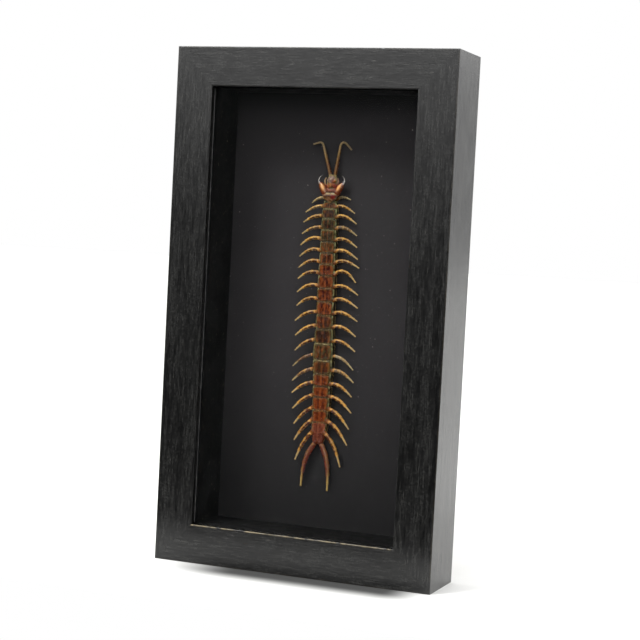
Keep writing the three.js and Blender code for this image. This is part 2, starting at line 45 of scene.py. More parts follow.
# Straight-line reading of a table of (place, value) pairs, averaged over a small window so
# that its corners are rounded.
def reading(table, t, blur=0.0):
    places, values = np.array(table, float).T
    t = np.asarray(t, float)
    if blur == 0:
        return np.interp(t, places, values)
    shifts = np.linspace(-blur, blur, 9)
    return np.mean([np.interp(t + d, places, values) for d in shifts], axis=0)


# 0 below the low value, 1 above the high one, and an S-shaped rise between them.
def ease(low, high, t):
    s = np.clip((np.asarray(t, float) - low) / (high - low), 0, 1)
    return s * s * (3 - 2 * s)


# Bell curve: 1 at the middle, falling off over the width.
def bell(t, middle, width):
    return np.exp(-(((np.asarray(t, float) - middle) / width) ** 2))


# Smooth irregular value of about -1 to 1: the mean of sine waves in seeded directions.
def ripple(points, wavelength, seed, stretch=(1, 1, 1)):
    rng = np.random.default_rng(seed)
    directions = rng.normal(size=(9, 3))
    directions /= np.linalg.norm(directions, axis=1, keepdims=True)
    waves = directions * (2 * np.pi / wavelength) * rng.uniform(0.6, 1.5, (9, 1)) / np.array(stretch)
    phases = rng.uniform(0, 2 * np.pi, 9)
    return np.sin(points @ waves.T + phases).mean(-1) * 2


# A point over the card, from how far across, how high up and how far off the card.
def over(x, z, h):
    x, z, h = np.broadcast_arrays(np.asarray(x, float), z, h)
    return np.stack([x, cardFace - h, z], -1)


# A direction divided by its own length.
def unit(v):
    return v / np.maximum(np.linalg.norm(v, axis=-1, keepdims=True), 1e-9)


# The angles of one turn, as a row.
def circle(count):
    return np.linspace(0, 2 * np.pi, count, endpoint=False)[None]


# An angle held between minus and plus half a turn.
def wrapped(angle):
    return np.angle(np.exp(1j * angle))


# A cosine or sine raised to a power with its sign kept, which squares off an oval section.
def blunt(wave, power):
    return np.sign(wave) * np.abs(wave) ** power


# Shares of a length as a column, closer set near both ends.
def closeEnds(first, last, rows):
    return (0.5 - 0.5 * np.cos(np.pi * np.linspace(first, last, rows)))[:, None]


# Turns the faces round where the enclosed volume, the sum of the corner products, is negative.
def facingOut(skin):
    p, quads, tris = skin["points"], skin["quads"], skin["tris"]
    every = np.concatenate([quads[:, [0, 1, 2]], quads[:, [0, 2, 3]], tris])
    a, b, c = p[every[:, 0]], p[every[:, 1]], p[every[:, 2]]
    if np.einsum("ij,ij->", a - p.mean(0), np.cross(b - p.mean(0), c - p.mean(0))) < 0:
        skin["quads"], skin["tris"] = quads[:, ::-1], tris[:, ::-1]
    return skin


# A closed skin over rings: rows follow the path, columns go round, and triangles join each
# end ring to its pole.
def closedSkin(grid, values=None, poles=None):
    rows, cols = grid.shape[:2]
    number = np.arange(rows * cols).reshape(rows, cols)
    after = np.roll(number, -1, axis=1)
    quads = np.stack([number[:-1], after[:-1], after[1:], number[1:]], -1).reshape(-1, 4)
    first = np.full(cols, rows * cols)
    tris = np.concatenate([
        np.stack([after[0], number[0], first], -1),
        np.stack([number[-1], after[-1], first + 1], -1),
    ])
    ends = np.array(poles if poles is not None else (grid[0].mean(0), grid[-1].mean(0)))
    flat = {}
    for key, value in (values or {}).items():
        value = np.broadcast_to(value, (rows, cols))
        flat[key] = np.concatenate([value.ravel(), [value[0].mean(), value[-1].mean()]])
    points = np.concatenate([grid.reshape(-1, 3), ends])
    return facingOut({"points": points, "quads": quads, "tris": tris, "values": flat})


# What a skin's points tell its material, from 0 to 1: how deep the colour is, how much of the
# tail's colours it has, and how much of its margin's.
def shades(tone, tailward=0.0, edge=0.0):
    return {"tone": np.clip(tone, 0, 1), "tailward": np.clip(tailward, 0, 1), "edge": np.clip(edge, 0, 1)}


# The same for a skin that is made already: one number for all its points, or one for each point
# of its rings, of which the first and the last also go to the poles.
def shaded(skin, tone=0.6, edge=0.0, tailward=1.0):
    for key, value in shades(tone, tailward, edge).items():
        if np.ndim(value) > 0:
            value = np.append(value, value.flat[[0, -1]])
        skin["values"][key] = np.full(len(skin["points"]), value)
    return skin


# Several skins as one: their points are stacked and their faces renumbered.
def joined(skins):
    starts = np.cumsum([0] + [len(s["points"]) for s in skins[:-1]])
    return {
        "points": np.concatenate([s["points"] for s in skins]),
        "quads": np.concatenate([s["quads"] + n for s, n in zip(skins, starts)]),
        "tris": np.concatenate([s["tris"] + n for s, n in zip(skins, starts)]),
        "values": {k: np.concatenate([s["values"][k] for s in skins]) for k in skins[0]["values"]},
    }


# Makes the mesh object of a skin, with its values as attributes, and fixes it to the part.
def addPiece(name, skin, material, replaced=()):
    points, quads, tris = skin["points"] * millimetre, skin["quads"], skin["tris"]
    mesh = bpy.data.meshes.new(name)
    mesh.vertices.add(len(points))
    mesh.vertices.foreach_set("co", points.astype(np.float32).ravel())
    corners = np.concatenate([quads.ravel(), tris.ravel()]).astype(np.int32)
    starts = np.concatenate([np.arange(len(quads)) * 4, len(quads) * 4 + np.arange(len(tris)) * 3])
    mesh.loops.add(len(corners))
    mesh.loops.foreach_set("vertex_index", corners)
    mesh.polygons.add(len(starts))
    mesh.polygons.foreach_set("loop_start", starts.astype(np.int32))
    mesh.polygons.foreach_set("use_smooth", np.full(len(starts), True))
    mesh.update(calc_edges=True)
    mesh.validate()
    for key, value in skin["values"].items():
        attribute = mesh.attributes.new(key, "FLOAT", "POINT")
        attribute.data.foreach_set("value", value.astype(np.float32))
    piece = bpy.data.objects.new(name, mesh)
    bpy.context.scene.collection.objects.link(piece)
    mesh.materials.append(material)
    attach(piece, "root")
    if replaced:
        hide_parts(*replaced)


# A closed tube: each ring is the path's point plus the direction across times the half width
# and cosine, plus the direction towards the glass times the half depth and sine. A scale of the
# rings' points cuts grooves into it.
def tube(path, width, depth, sides, scale=1):
    rows = len(path)
    run = np.gradient(path, axis=0)
    run[:, 1] = 0
    run = unit(run)
    across = np.stack([run[:, 2], np.zeros(rows), -run[:, 0]], -1)
    angle = circle(sides)
    side = (np.broadcast_to(width, rows)[:, None] * np.cos(angle) * scale)[..., None] * across[:, None]
    rise = (np.broadcast_to(depth, rows)[:, None] * np.sin(angle) * scale)[..., None] * np.array([0, -1, 0])
    return closedSkin(path[:, None] + side + rise)


# A smooth path through points: the Catmull-Rom blend of each four neighbours, then spaced
# evenly along its length.
def smoothPath(points, count):
    p = np.array(points, float)
    p = np.concatenate([[2 * p[0] - p[1]], p, [2 * p[-1] - p[-2]]])
    t = np.linspace(0, 1, 12, endpoint=False)[:, None]
    parts = []
    for a, b, c, d in zip(p[:-3], p[1:-2], p[2:-1], p[3:]):
        parts.append(0.5 * (2 * b + (c - a) * t + (2 * a - 5 * b + 4 * c - d) * t**2
            + (3 * b - a - 3 * c + d) * t**3))
    line = np.concatenate(parts + [p[-2:-1]])
    return spots(line, np.linspace(0, 1, count))


# Points at given shares of a line's length.
def spots(line, shares):
    steps = np.concatenate([[0], np.cumsum(np.linalg.norm(np.diff(line, axis=0), axis=1))])
    at = np.asarray(shares) * steps[-1]
    return np.stack([np.interp(at, steps, line[:, k]) for k in range(3)], -1)


# The length of a line, summed over its steps.
def lengthOf(line):
    return np.linalg.norm(np.diff(line, axis=0), axis=1).sum()


# Colour from its screen notation, as linear light.
def tint(notation):
    parts = [int(notation[k:k + 2], 16) / 255 for k in (1, 3, 5)]
    return [p / 12.92 if p <= 0.04045 else ((p + 0.055) / 1.055) ** 2.4 for p in parts] + [1]


# Gives a node its inputs: another node's output, a number, or a colour in screen notation.
def feed(node, inputs):
    for key, value in inputs.items():
        if isinstance(value, bpy.types.NodeSocket):
            node.id_data.links.new(value, node.inputs[key])
        else:
            node.inputs[key].default_value = tint(value) if isinstance(value, str) else value


def addNode(tree, kind, inputs=None, **settings):
    made = tree.nodes.new(kind)
    for key, value in settings.items():
        setattr(made, key, value)
    feed(made, inputs or {})
    return made


# A new material, its shader, and the places of its points in the object's own coordinates.
def newMaterial(name):
    material = bpy.data.materials.new(name)
    material.use_nodes = True
    shader = material.node_tree.nodes["Principled BSDF"]
    return material, shader, addNode(material.node_tree, "ShaderNodeTexCoord").outputs["Object"]


# Each of these adds one node, beside the one whose output is handed in first.
def mixed(factor, a, b):
    return addNode(factor.id_data, "ShaderNodeMix", {0: factor, 6: a, 7: b}, data_type="RGBA").outputs[2]


def maths(operation, a, b, clamp=False):
    return addNode(a.id_data, "ShaderNodeMath", {0: a, 1: b}, operation=operation,
        use_clamp=clamp).outputs[0]


def times(a, b, clamp=False):
    return maths("MULTIPLY", a, b, clamp)


def plus(a, b):
    return maths("ADD", a, b)


def minus(a, b):
    return maths("SUBTRACT", a, b)


def blend(a, partA, b, partB):
    return plus(times(a, partA), times(b, partB))


def noise(place, scale, detail=3.0, roughness=0.55, distortion=0.0, stretch=None):
    tree = place.id_data
    if stretch is not None:
        place = addNode(tree, "ShaderNodeMapping", {"Vector": place, "Scale": stretch}).outputs[0]
    inputs = {"Vector": place, "Scale": scale, "Detail": detail, "Roughness": roughness,
        "Distortion": distortion}
    return addNode(tree, "ShaderNodeTexNoise", inputs).outputs["Fac"]


def spread(value, low, high, to=(0.0, 1.0)):
    inputs = {"Value": value, "From Min": low, "From Max": high, "To Min": to[0], "To Max": to[1]}
    return addNode(value.id_data, "ShaderNodeMapRange", inputs, interpolation_type="SMOOTHSTEP").outputs[0]


def bumped(height, strength, distance):
    inputs = {"Height": height, "Strength": strength, "Distance": distance}
    return addNode(height.id_data, "ShaderNodeBump", inputs).outputs[0]


def attribute(shader, name):
    return addNode(shader.id_data, "ShaderNodeAttribute", attribute_name=name).outputs["Fac"]


def parted(vector):
    return addNode(vector.id_data, "ShaderNodeSeparateXYZ", {0: vector}).outputs


# Dried shell: a pale and a deep colour mixed by the piece's own tone and a mottle, turning to a
# second pair towards the tail, with fine pits and wrinkles in its relief.
def shellMaterial(name, look):
    material, shader, place = newMaterial(name)
    tone, tailward, edge = (attribute(shader, key) for key in ("tone", "tailward", "edge"))
    mottle = noise(place, look["mottleScale"], 4, 0.6, 0.4)
    fine = noise(place, look["mottleScale"] * 5, 3, 0.6)
    shade = plus(tone, times(minus(mottle, 0.5), look["mottle"]))
    shade = spread(plus(shade, times(minus(fine, 0.5), look["grain"])), 0.0, 1.0)
    front = mixed(shade, look["pale"], look["deep"])
    rear = mixed(shade, look["paleRear"], look["deepRear"])
    colour = mixed(times(edge, look["edge"], clamp=True), mixed(tailward, front, rear), look["edgeColour"])
    dust = spread(noise(place, look["mottleScale"] * 2.3, 5, 0.7), 0.56, 0.74)
    wrinkle = noise(place, look["wrinkleScale"], 5, 0.65, 0.6, look["wrinkleStretch"])
    feed(shader, {
        "Base Color": mixed(times(dust, look["dust"]), colour, look["dustColour"]),
        "Roughness": spread(mottle, 0.3, 0.7, look["rough"]), "Specular IOR Level": look["gloss"],
        "Normal": bumped(blend(wrinkle, 0.7, fine, 0.3), look["relief"], 0.0004),
    })
    return material


baseLook = {
    "edge": 0.75, "edgeColour": "#b3a06a", "mottle": 0.6, "grain": 0.25, "mottleScale": 420.0,
    "dust": 0.08, "dustColour": "#a79f86", "rough": (0.18, 0.34), "gloss": 0.3, "relief": 0.5,
    "wrinkleScale": 900.0, "wrinkleStretch": (1.0, 1.0, 1.0),
}


# A shell's look is the base look with its own colours and changes. Where it has no colours of
# its own for the rear, the front's serve.
def look(pale, deep, paleRear=None, deepRear=None, **changes):
    own = {"pale": pale, "deep": deep, "paleRear": paleRear or pale, "deepRear": deepRear or deep}
    return {**baseLook, **own, **changes}


railSpec = {
    "width": 22.7, "depth": 41.0, "lip": 4.0, "rebate": 5.3, "easedEdge": 0.4, "mitreGap": 0.008,
    "height": 300.0, "across": 170.0, "edgeWander": 0.05,
    "black": "#060606", "streak": "#1d1d1c", "fleck": "#4c4a45", "wearAndGlint": "#86795c", "sideGrainSheen": "#3c3c3b",
}


# Wood under black stain. The grain is noise drawn out along the rail, with pores and pale
# flecks where two such noises meet. The eased edges are rubbed through in places, and the bottom
# rail's inner edge is pale along most of its length. The outer sides carry paler streaks along the
# grain: painted sheen, as they look when seen at a slant.
def stainedWood(name, stretch):
    material, shader, place = newMaterial(name)
    grain = noise(place, 1.0, 7, 0.62, 0.25, stretch)
    broad = noise(place, 1.0, 3, 0.5, 0.5, [s * 0.16 for s in stretch])
    pores = noise(place, 1.0, 2, 0.5, 0.0, [s * 2.4 for s in stretch])
    brushed = noise(place, 1.0, 5, 0.7, 0.4, [10 + 0.4 * s for s in stretch])
    speckle = noise(place, 900.0, 4, 0.7)
    outer, edge = attribute(shader, "outer"), attribute(shader, "edge")
    streaks = spread(plus(blend(grain, 0.45, broad, 0.2), times(speckle, 0.35)), 0.43, 0.62)
    flecks = times(spread(pores, 0.62, 0.74), spread(grain, 0.48, 0.62))
    wearAndGlint = times(edge, spread(noise(place, 160.0, 4, 0.7), 0.36, 0.62), clamp=True)
    colour = mixed(streaks, railSpec["black"], railSpec["streak"])
    colour = mixed(times(flecks, 0.5), colour, railSpec["fleck"])
    # Painted sheen: paler streaks along the grain on the outer sides only.
    colour = mixed(times(outer, spread(brushed, 0.38, 0.66)), colour, railSpec["sideGrainSheen"])
    colour = mixed(times(wearAndGlint, 0.8), colour, railSpec["wearAndGlint"])
    relief = minus(grain, times(spread(pores, 0.5, 0.66), 0.6))
    relief = plus(blend(relief, 0.45, speckle, 0.6), times(times(outer, brushed), 5.0))
    feed(shader, {
        "Base Color": colour, "Roughness": spread(blend(grain, 0.6, broad, 0.4), 0.3, 0.7, (0.17, 0.27)),
        "IOR": 1.36, "Coat Weight": spread(grain, 0.42, 0.62, (0.08, 0.18)), "Coat Roughness": 0.2,
        "Normal": bumped(relief, 0.12, 0.0004),
    })
    return material


# The rail's section, from its outer side to the opening (u) and from front to back (v). Each
# corner is a quarter arc of the given radius between its two sides. The last number is how pale
# its edge turns: wear, and on the inner front edge a pale line.
def railSection(inner):
    w, d, lip = railSpec["width"], railSpec["depth"], railSpec["lip"]
    deep = w - railSpec["rebate"]
    r = railSpec["easedEdge"]
    corners = [(0, 0, r, 0.05), (w, 0, r, inner), (w, lip, 0.25, 0), (deep, lip, 0, 0), (deep, d, 0.3, 0.1),
        (0, d, r, 0.1)]
    points, edge = [], []
    for k, (u, v, radius, wear) in enumerate(corners):
        before, after = corners[k - 1], corners[(k + 1) % len(corners)]
        back = unit(np.array([before[0] - u, before[1] - v], float))
        ahead = unit(np.array([after[0] - u, after[1] - v], float))
        if radius == 0:
            points.append((u, v))
            edge.append(0)
            continue
        corner = np.array([u, v], float)
        points.append(corner + back * radius * 2.2)
        edge.append(0)
        for q in np.linspace(0, np.pi / 2, 6):
            points.append(corner + back * radius * (1 - np.sin(q)) + ahead * radius * (1 - np.cos(q)))
            edge.append(wear)
        points.append(corner + ahead * radius * 2.2)
        edge.append(0)
    return np.array(points), np.array(edge)


# A rail is the section carried along its length. Both ends are cut at 45 degrees, so a point's
# place along the rail is held to its own distance from the outer side, and the eased edges wander.
def railSkin(length, seed, place, inner):
    section, wear = railSection(inner)
    t = np.concatenate([[0, 0.0004], np.linspace(0.002, 0.998, 88), [0.9996, 1]])[:, None]
    u, v = section[None, :, 0], section[None, :, 1]
    inset = u + railSpec["mitreGap"]
    run = inset + (length - 2 * inset) * t
    wander = (ripple(np.stack(np.broadcast_arrays(run, u * 3, v * 3), -1), 34, seed) * wear
        * railSpec["edgeWander"])
    middle = np.array([railSpec["width"] / 2, railSpec["depth"] / 2])
    u = u + np.sign(middle[0] - u) * np.abs(wander)
    v = v + np.sign(middle[1] - v) * np.abs(wander)
    grid = place(*np.broadcast_arrays(u, v - railSpec["depth"] / 2, run))
    heart = np.array([10.0, 2.2 - railSpec["depth"] / 2])
    near, far = 10 + railSpec["mitreGap"], length - 10 - railSpec["mitreGap"]
    poles = [place(np.array([heart[0]]), np.array([heart[1]]), np.array([at]))[0] for at in (near, far)]
    outer = 1.0 * (section[:, 0] < 0.01)
    return closedSkin(grid, {"edge": wear[None, :], "outer": outer[None, :]}, poles)


uprightWood = stainedWood("blackStainedWoodUpright", (1500.0, 1500.0, 110.0))
levelWood = stainedWood("blackStainedWoodLevel", (110.0, 1500.0, 1500.0))
halfAcross = railSpec["across"] / 2
rails = {
    "left": (railSpec["height"], uprightWood, lambda u, v, s: np.stack([u - halfAcross, v, s], -1)),
    "right": (railSpec["height"], uprightWood, lambda u, v, s: np.stack([halfAcross - u, v, s], -1)),
    "bottom": (railSpec["across"], levelWood, lambda u, v, s: np.stack([s - halfAcross, v, u], -1)),
    "top": (railSpec["across"], levelWood, lambda u, v,
        s: np.stack([s - halfAcross, v, railSpec["height"] - u], -1)),
}
for number, (side, (length, wood, place)) in enumerate(rails.items()):
    # The bottom rail's inner front edge is pale along most of its length.
    paleInnerEdge = 0.7 if side == "bottom" else 0.0
    addPiece(f"rail{side.capitalize()}Wood", railSkin(length, number, place, paleInnerEdge), wood,
        [f"rail_{side}"])
print("rails done")


fillSpec = {
    "glassAlpha": 0.09, "glassTint": "#0b0d0d", "linerBlack": "#050505", "linerWorn": "#0b0b0b",
    "linerSpeck": "#6f6a5a", "card": "#2b292a", "cardShade": "#252325", "cardFibre": "#393738",
    "cardSpeck": "#7a7672", "cardPaintedShade": "#060606", "board": "#6d5236", "boardDark": "#4a3623",
    "steel": "#9a9a98", "steelDark": "#7d7d7b",
}


# Thin clear glass with a faint dark tint.
def clearGlass():
    material, shader, _ = newMaterial("clearGlass")
    feed(shader, {"Base Color": fillSpec["glassTint"], "Roughness": 0.03, "Specular IOR Level": 0.3,
                  "Alpha": fillSpec["glassAlpha"]})
    return material


# Satin black strip with a few specks of dust.
def satinLiner():
    material, shader, place = newMaterial("satinBlackLiner")
    broad = noise(place, 60.0, 4, 0.6)
    specks = spread(noise(place, 650.0, 3, 0.6), 0.66, 0.72)
    colour = mixed(spread(broad, 0.35, 0.7), fillSpec["linerBlack"], fillSpec["linerWorn"])
    feed(shader, {
        "Base Color": mixed(specks, colour, fillSpec["linerSpeck"]), "Specular IOR Level": 0.25,
        "Roughness": spread(broad, 0.3, 0.7, (0.5, 0.75)),
        "Normal": bumped(noise(place, 300.0, 5, 0.7), 0.6, 0.0005),
    })
    return material


# Dark mounting card: short paper fibres, faint cloudiness and a few pale specks, with painted shade
# darkening it towards its foot.
def mountingCard():
    material, shader, place = newMaterial("darkMountingCard")
    fibres = noise(place, 900.0, 4, 0.7, 1.2)
    specks = spread(noise(place, 700.0, 1, 0.5), 0.74, 0.8)
    clouds = spread(noise(place, 22.0, 4, 0.6), 0.3, 0.7, (0.1, 0.6))
    colour = mixed(clouds, fillSpec["card"], fillSpec["cardShade"])
    colour = mixed(times(spread(fibres, 0.5, 0.75), 0.4), colour, fillSpec["cardFibre"])
    colour = mixed(specks, colour, fillSpec["cardSpeck"])
    # Painted shade: the card turns darker towards its foot.
    colour = mixed(spread(parted(place)[2], 0.02, 0.15, (0.75, 0.0)), colour, fillSpec["cardPaintedShade"])
    feed(shader, {"Base Color": colour, "Roughness": 0.9, "Specular IOR Level": 0.25,
                  "Normal": bumped(fibres, 0.06, 0.0002)})
    return material


# Pressed fibreboard: coarse brown fibres lying every way.
def fibreboard():
    material, shader, place = newMaterial("brownFibreboard")
    fibres = noise(place, 260.0, 6, 0.75, 1.5)
    shade = spread(blend(fibres, 0.7, noise(place, 40.0, 3, 0.5), 0.3), 0.35, 0.65)
    feed(shader, {"Base Color": mixed(shade, fillSpec["boardDark"], fillSpec["board"]), "Roughness": 0.8,
                  "Normal": bumped(fibres, 0.4, 0.0004)})
    return material


# Steel with fine scratches along it.
def brushedSteel():
    material, shader, place = newMaterial("brushedSteel")
    scratches = noise(place, 1.0, 4, 0.6, 0.0, (1500.0, 1500.0, 150.0))
    colour = mixed(spread(scratches, 0.3, 0.7), fillSpec["steelDark"], fillSpec["steel"])
    feed(shader, {"Base Color": colour, "Metallic": 1.0, "Roughness": 0.38,
        "Normal": bumped(scratches, 0.1, 0.0001)})
    return material


fillings = {"glass": clearGlass(), "liner": satinLiner(), "backing_card": mountingCard(),
    "back_board": fibreboard()}
for name, material in fillings.items():
    held = nodes[name]
    held.data.materials.clear()
    held.data.materials.append(material)

pointSpec = {
    "long": 13.0, "wide": 7.0, "thick": 0.3, "gap": 0.03, "boardBack": 20.1, "inset": 6,
    "acrossPlaces": (-45, 0, 45), "upPlaces": (60, 120, 180, 240), "halfOpening": 67.6, "foot": 17.4,
    "top": 282.6,
}


# A glazier's point is a thin flat lozenge with a rounded blunt end. Its half width is a
# superellipse of its length, and the section is a thin oval.
def pointSkin(x, z, dx, dz):
    s = np.linspace(-0.98, 0.98, 15)
    half = pointSpec["wide"] / 2 * (1 - np.abs(s) ** 2.2) ** 0.7
    angle = circle(16)
    along = s[:, None] * pointSpec["long"] / 2
    side = half[:, None] * np.cos(angle)
    y = pointSpec["boardBack"] + pointSpec["gap"] + pointSpec["thick"] / 2 * (1 + blunt(np.sin(angle), 0.3))
    grid = np.stack(np.broadcast_arrays(x + dx * along - dz * side, y, z + dz * along + dx * side), -1)
    return closedSkin(grid)


inset = pointSpec["inset"]
upright = ((pointSpec["foot"] + inset, 1), (pointSpec["top"] - inset, -1))
points = [pointSkin(x, z, 0, s) for x in pointSpec["acrossPlaces"] for z, s in upright]
points += [pointSkin(s * (pointSpec["halfOpening"] - inset), z, s, 0) for z in pointSpec["upPlaces"]
    for s in (-1, 1)]
addPiece("glazierPoints", joined(points), brushedSteel())

beadSpec = {
    "across": 62.1, "face": -16.55, "from": 23.5, "to": 276.5, "rows": 260, "radius": 0.26,
    "colour": "#1a1a1b", "pale": "#4e4e4c",
}


# Dark sealant with paler patches.
def greySealant():
    material, shader, place = newMaterial("greySealant")
    patches = spread(noise(place, 260.0, 5, 0.75), 0.45, 0.75)
    feed(shader, {"Base Color": mixed(patches, beadSpec["colour"], beadSpec["pale"]), "Roughness": 0.45})
    return material


# A thin bead of sealant where the glass meets an upright: a tube whose radius is a slow ripple.
def beadSkin(side):
    z = np.linspace(beadSpec["from"], beadSpec["to"], beadSpec["rows"])
    path = np.stack([side * beadSpec["across"] + 0 * z, beadSpec["face"] + 0 * z, z], -1)
    radius = beadSpec["radius"] * (1 + 0.35 * ripple(path, 5, 17))
    return tube(path, radius, radius, 10)


addPiece("glassBeads", joined([beadSkin(side) for side in (-1, 1)]), greySealant())
print("fillings done")


trunk = {
    "top": 214.6, "firstLegs": 216.8, "end": 73.0, "pairs": 21, "lift": 0.3,
    "centre": [(-4, 1.1), (0, 1), (45, 1.35), (100, 1.8), (120, 1.8), (131, 1.5), (141.6, 0.7)],
    "pitch": [(1, 4.8), (2, 5.7), (3, 6.7), (7, 6.6), (8, 7.5), (11, 8), (13, 8.8), (16, 7.5), (19, 7.3),
        (20, 5.1)],
    "bandBehind": [(1, 1.3), (9, 1.2), (11, 1.5), (13, 1.7), (14, 2.8), (15, 2.4), (16, 1.6), (17, 0.4),
        (18, 0.9), (20, 0.3)],
    "halfWidth": [
        (0, 4), (4, 4.8), (17, 5.1), (35, 5.3), (51, 5.7), (73, 5.8), (84, 6.4), (92, 6.6), (99, 6.4),
        (105, 5.8),
        (115, 5.7), (126, 5.3), (131.5, 5.1), (135, 4.6), (138.6, 3.6), (142.5, 2.9),
    ],
    "thickness": [(0, 4.4), (10, 5.2), (90, 5.6), (125, 5.2), (138, 4.4), (142.5, 3.2)],
}
legZ = trunk["firstLegs"] - np.concatenate([[0], np.cumsum(reading(trunk["pitch"], np.arange(1, 21)))])
bandZ = legZ - reading(trunk["bandBehind"], np.arange(1, 22))


# The trunk's middle line, half width and thickness at a height, read from its tables.
def centreX(z):
    return reading(trunk["centre"], trunk["top"] - np.asarray(z), 3)


def halfWidth(z):
    return reading(trunk["halfWidth"], trunk["top"] - np.asarray(z), 1.5)


def thickness(z):
    return reading(trunk["thickness"], trunk["top"] - np.asarray(z), 1.5)


redness = [
    (1, 0), (3, 0.04), (5, 0.1), (6, 0.35), (7, 0.5), (8, 0.75), (9, 0.66), (10, 0.75), (11, 0.7),
    (12, 0.5), (13, 0.22),
    (14, 0.3), (15, 0.4), (16, 0.75), (17, 0.7), (18, 0.92), (19, 1), (20, 0.9), (21, 0.9),
]


# How red the shell is at a height, 0 to 1, read from the table by the number of the leg pair.
def tailward(z):
    return reading(redness, np.interp(-np.asarray(z), -legZ, np.arange(1, 22)), 0.25)


legPlan = {
    "reach": {
        "left": [(1, 9.2), (2, 12), (3, 12.8), (5, 13.7), (7, 14.2), (10, 14.2), (11, 15.2), (13, 14.6),
            (14, 15.4), (18, 16), (19, 17.2), (20, 20.4), (21, 28.6)],
        "right": [(1, 7.6), (2, 11.8), (3, 12.8), (5, 13.6), (7, 15), (11, 15.2), (13, 14.6), (16, 14.9),
            (17, 16.2), (18, 17), (19, 18.4), (20, 22), (21, 29.2)],
    },
    "swing": {
        "left": [(1, 22), (2, 21), (8, 19), (10, 22), (13, 31), (16, 33), (17, 36), (19, 50), (20, 60),
            (21, 73.5)],
        "right": [(1, 5), (2, 19), (6, 19), (9, 18), (11, 17), (12, 21), (15, 27), (16, 29), (17, 34.5),
            (18, 42), (19, 47.5), (20, 63), (21, 80)],
    },
    "curl": {
        "left": [(1, 44), (2, 30), (4, 34), (5, 58), (10, 52), (12, 34), (16, 34), (17, 27), (19, 18),
            (20, 20), (21, 36)],
        "right": [(1, 60), (2, 58), (4, 60), (12, 58), (16, 56), (17, 50), (19, 42), (21, 40)],
    },
    "thickness": [(1, 0.95), (3, 1.16), (17, 1.24), (20, 1.34), (21, 1.7)],
    "quirks": {
        ("right", 7): {"swing": -7}, ("right", 8): {"reach": -1.4, "swing": 4, "curl": 48},
        ("right", 14): {"swing": 7, "thickness": -0.2}, ("left", 14): {"thickness": -0.2},
        ("left", 16): {"swing": -4},
    },
    "rootHeight": 3.6, "firstRootHeight": 1.5, "neckHalfWidth": 4.3, "lastApart": 1.75, "lastHeight": 2.6,
    "arch": 0.6, "drop": 1.0,
}


# A leg's own value: read from its side's table by the pair's number, plus its quirk if it has one.
def legSize(kind, side, pair):
    table = legPlan[kind]
    extra = legPlan["quirks"].get((side, pair), {}).get(kind, 0)
    return float(reading(table[side] if isinstance(table, dict) else table, pair)) + extra


def signOf(side):
    return -1 if side == "left" else 1


# Where a leg leaves the body: on the flank at its height, but the first pair stands at the neck
# and the last at the tail's end.
def legRoot(side, pair):
    z, sign = legZ[pair - 1], signOf(side)
    if pair == trunk["pairs"]:
        return over(centreX(trunk["end"]) + sign * legPlan["lastApart"], trunk["end"],
            legPlan["lastHeight"])
    if pair == 1:
        return over(centreX(z) + sign * legPlan["neckHalfWidth"], z, legPlan["firstRootHeight"])
    return over(centreX(z) + sign * halfWidth(z), z, legPlan["rootHeight"])


# A leg's line: it turns by its curl times the square of what is left of its length, is then
# turned and scaled so that its tip lies at its reach and swing, and arches off the card.
def legLine(side, pair):
    steps = 48
    s = (np.arange(steps) + 0.5) / steps
    turned = np.radians(legSize("curl", side, pair)) * (1 - s) ** 2
    flat = np.concatenate([[[0, 0]], np.cumsum(np.stack([np.cos(turned), np.sin(turned)], -1), axis=0)])
    tip = flat[-1]
    turn = -math.radians(legSize("swing", side, pair)) - math.atan2(tip[1], tip[0])
    scale = legSize("reach", side, pair) / np.hypot(*tip)
    x = (flat[:, 0] * math.cos(turn) - flat[:, 1] * math.sin(turn)) * scale
    z = (flat[:, 0] * math.sin(turn) + flat[:, 1] * math.cos(turn)) * scale
    s = np.linspace(0, 1, steps + 1)
    rise = legPlan["arch"] * np.sin(np.pi * s) - legPlan["drop"] * s * s
    root = legRoot(side, pair)
    return root + np.stack([signOf(side) * x, -rise, z], -1)


bodySpec = {"rowsPerMm": 9, "sides": 120, "pinch": 0.1, "fold": 0.09, "foldPitch": 0.62, "wrinkle": 0.16,
    "groove": 0.5}
bodyLook = look("#5a5630", "#0e0a05", "#5e4420", "#1a0c05", edge=0.85, edgeColour="#9ca06c", mottle=0.9,
    mottleScale=330.0, rough=(0.24, 0.4), gloss=0.2, relief=0.8, wrinkleScale=800.0,
    wrinkleStretch=(1.0, 1.0, 1.6), dust=0.12)


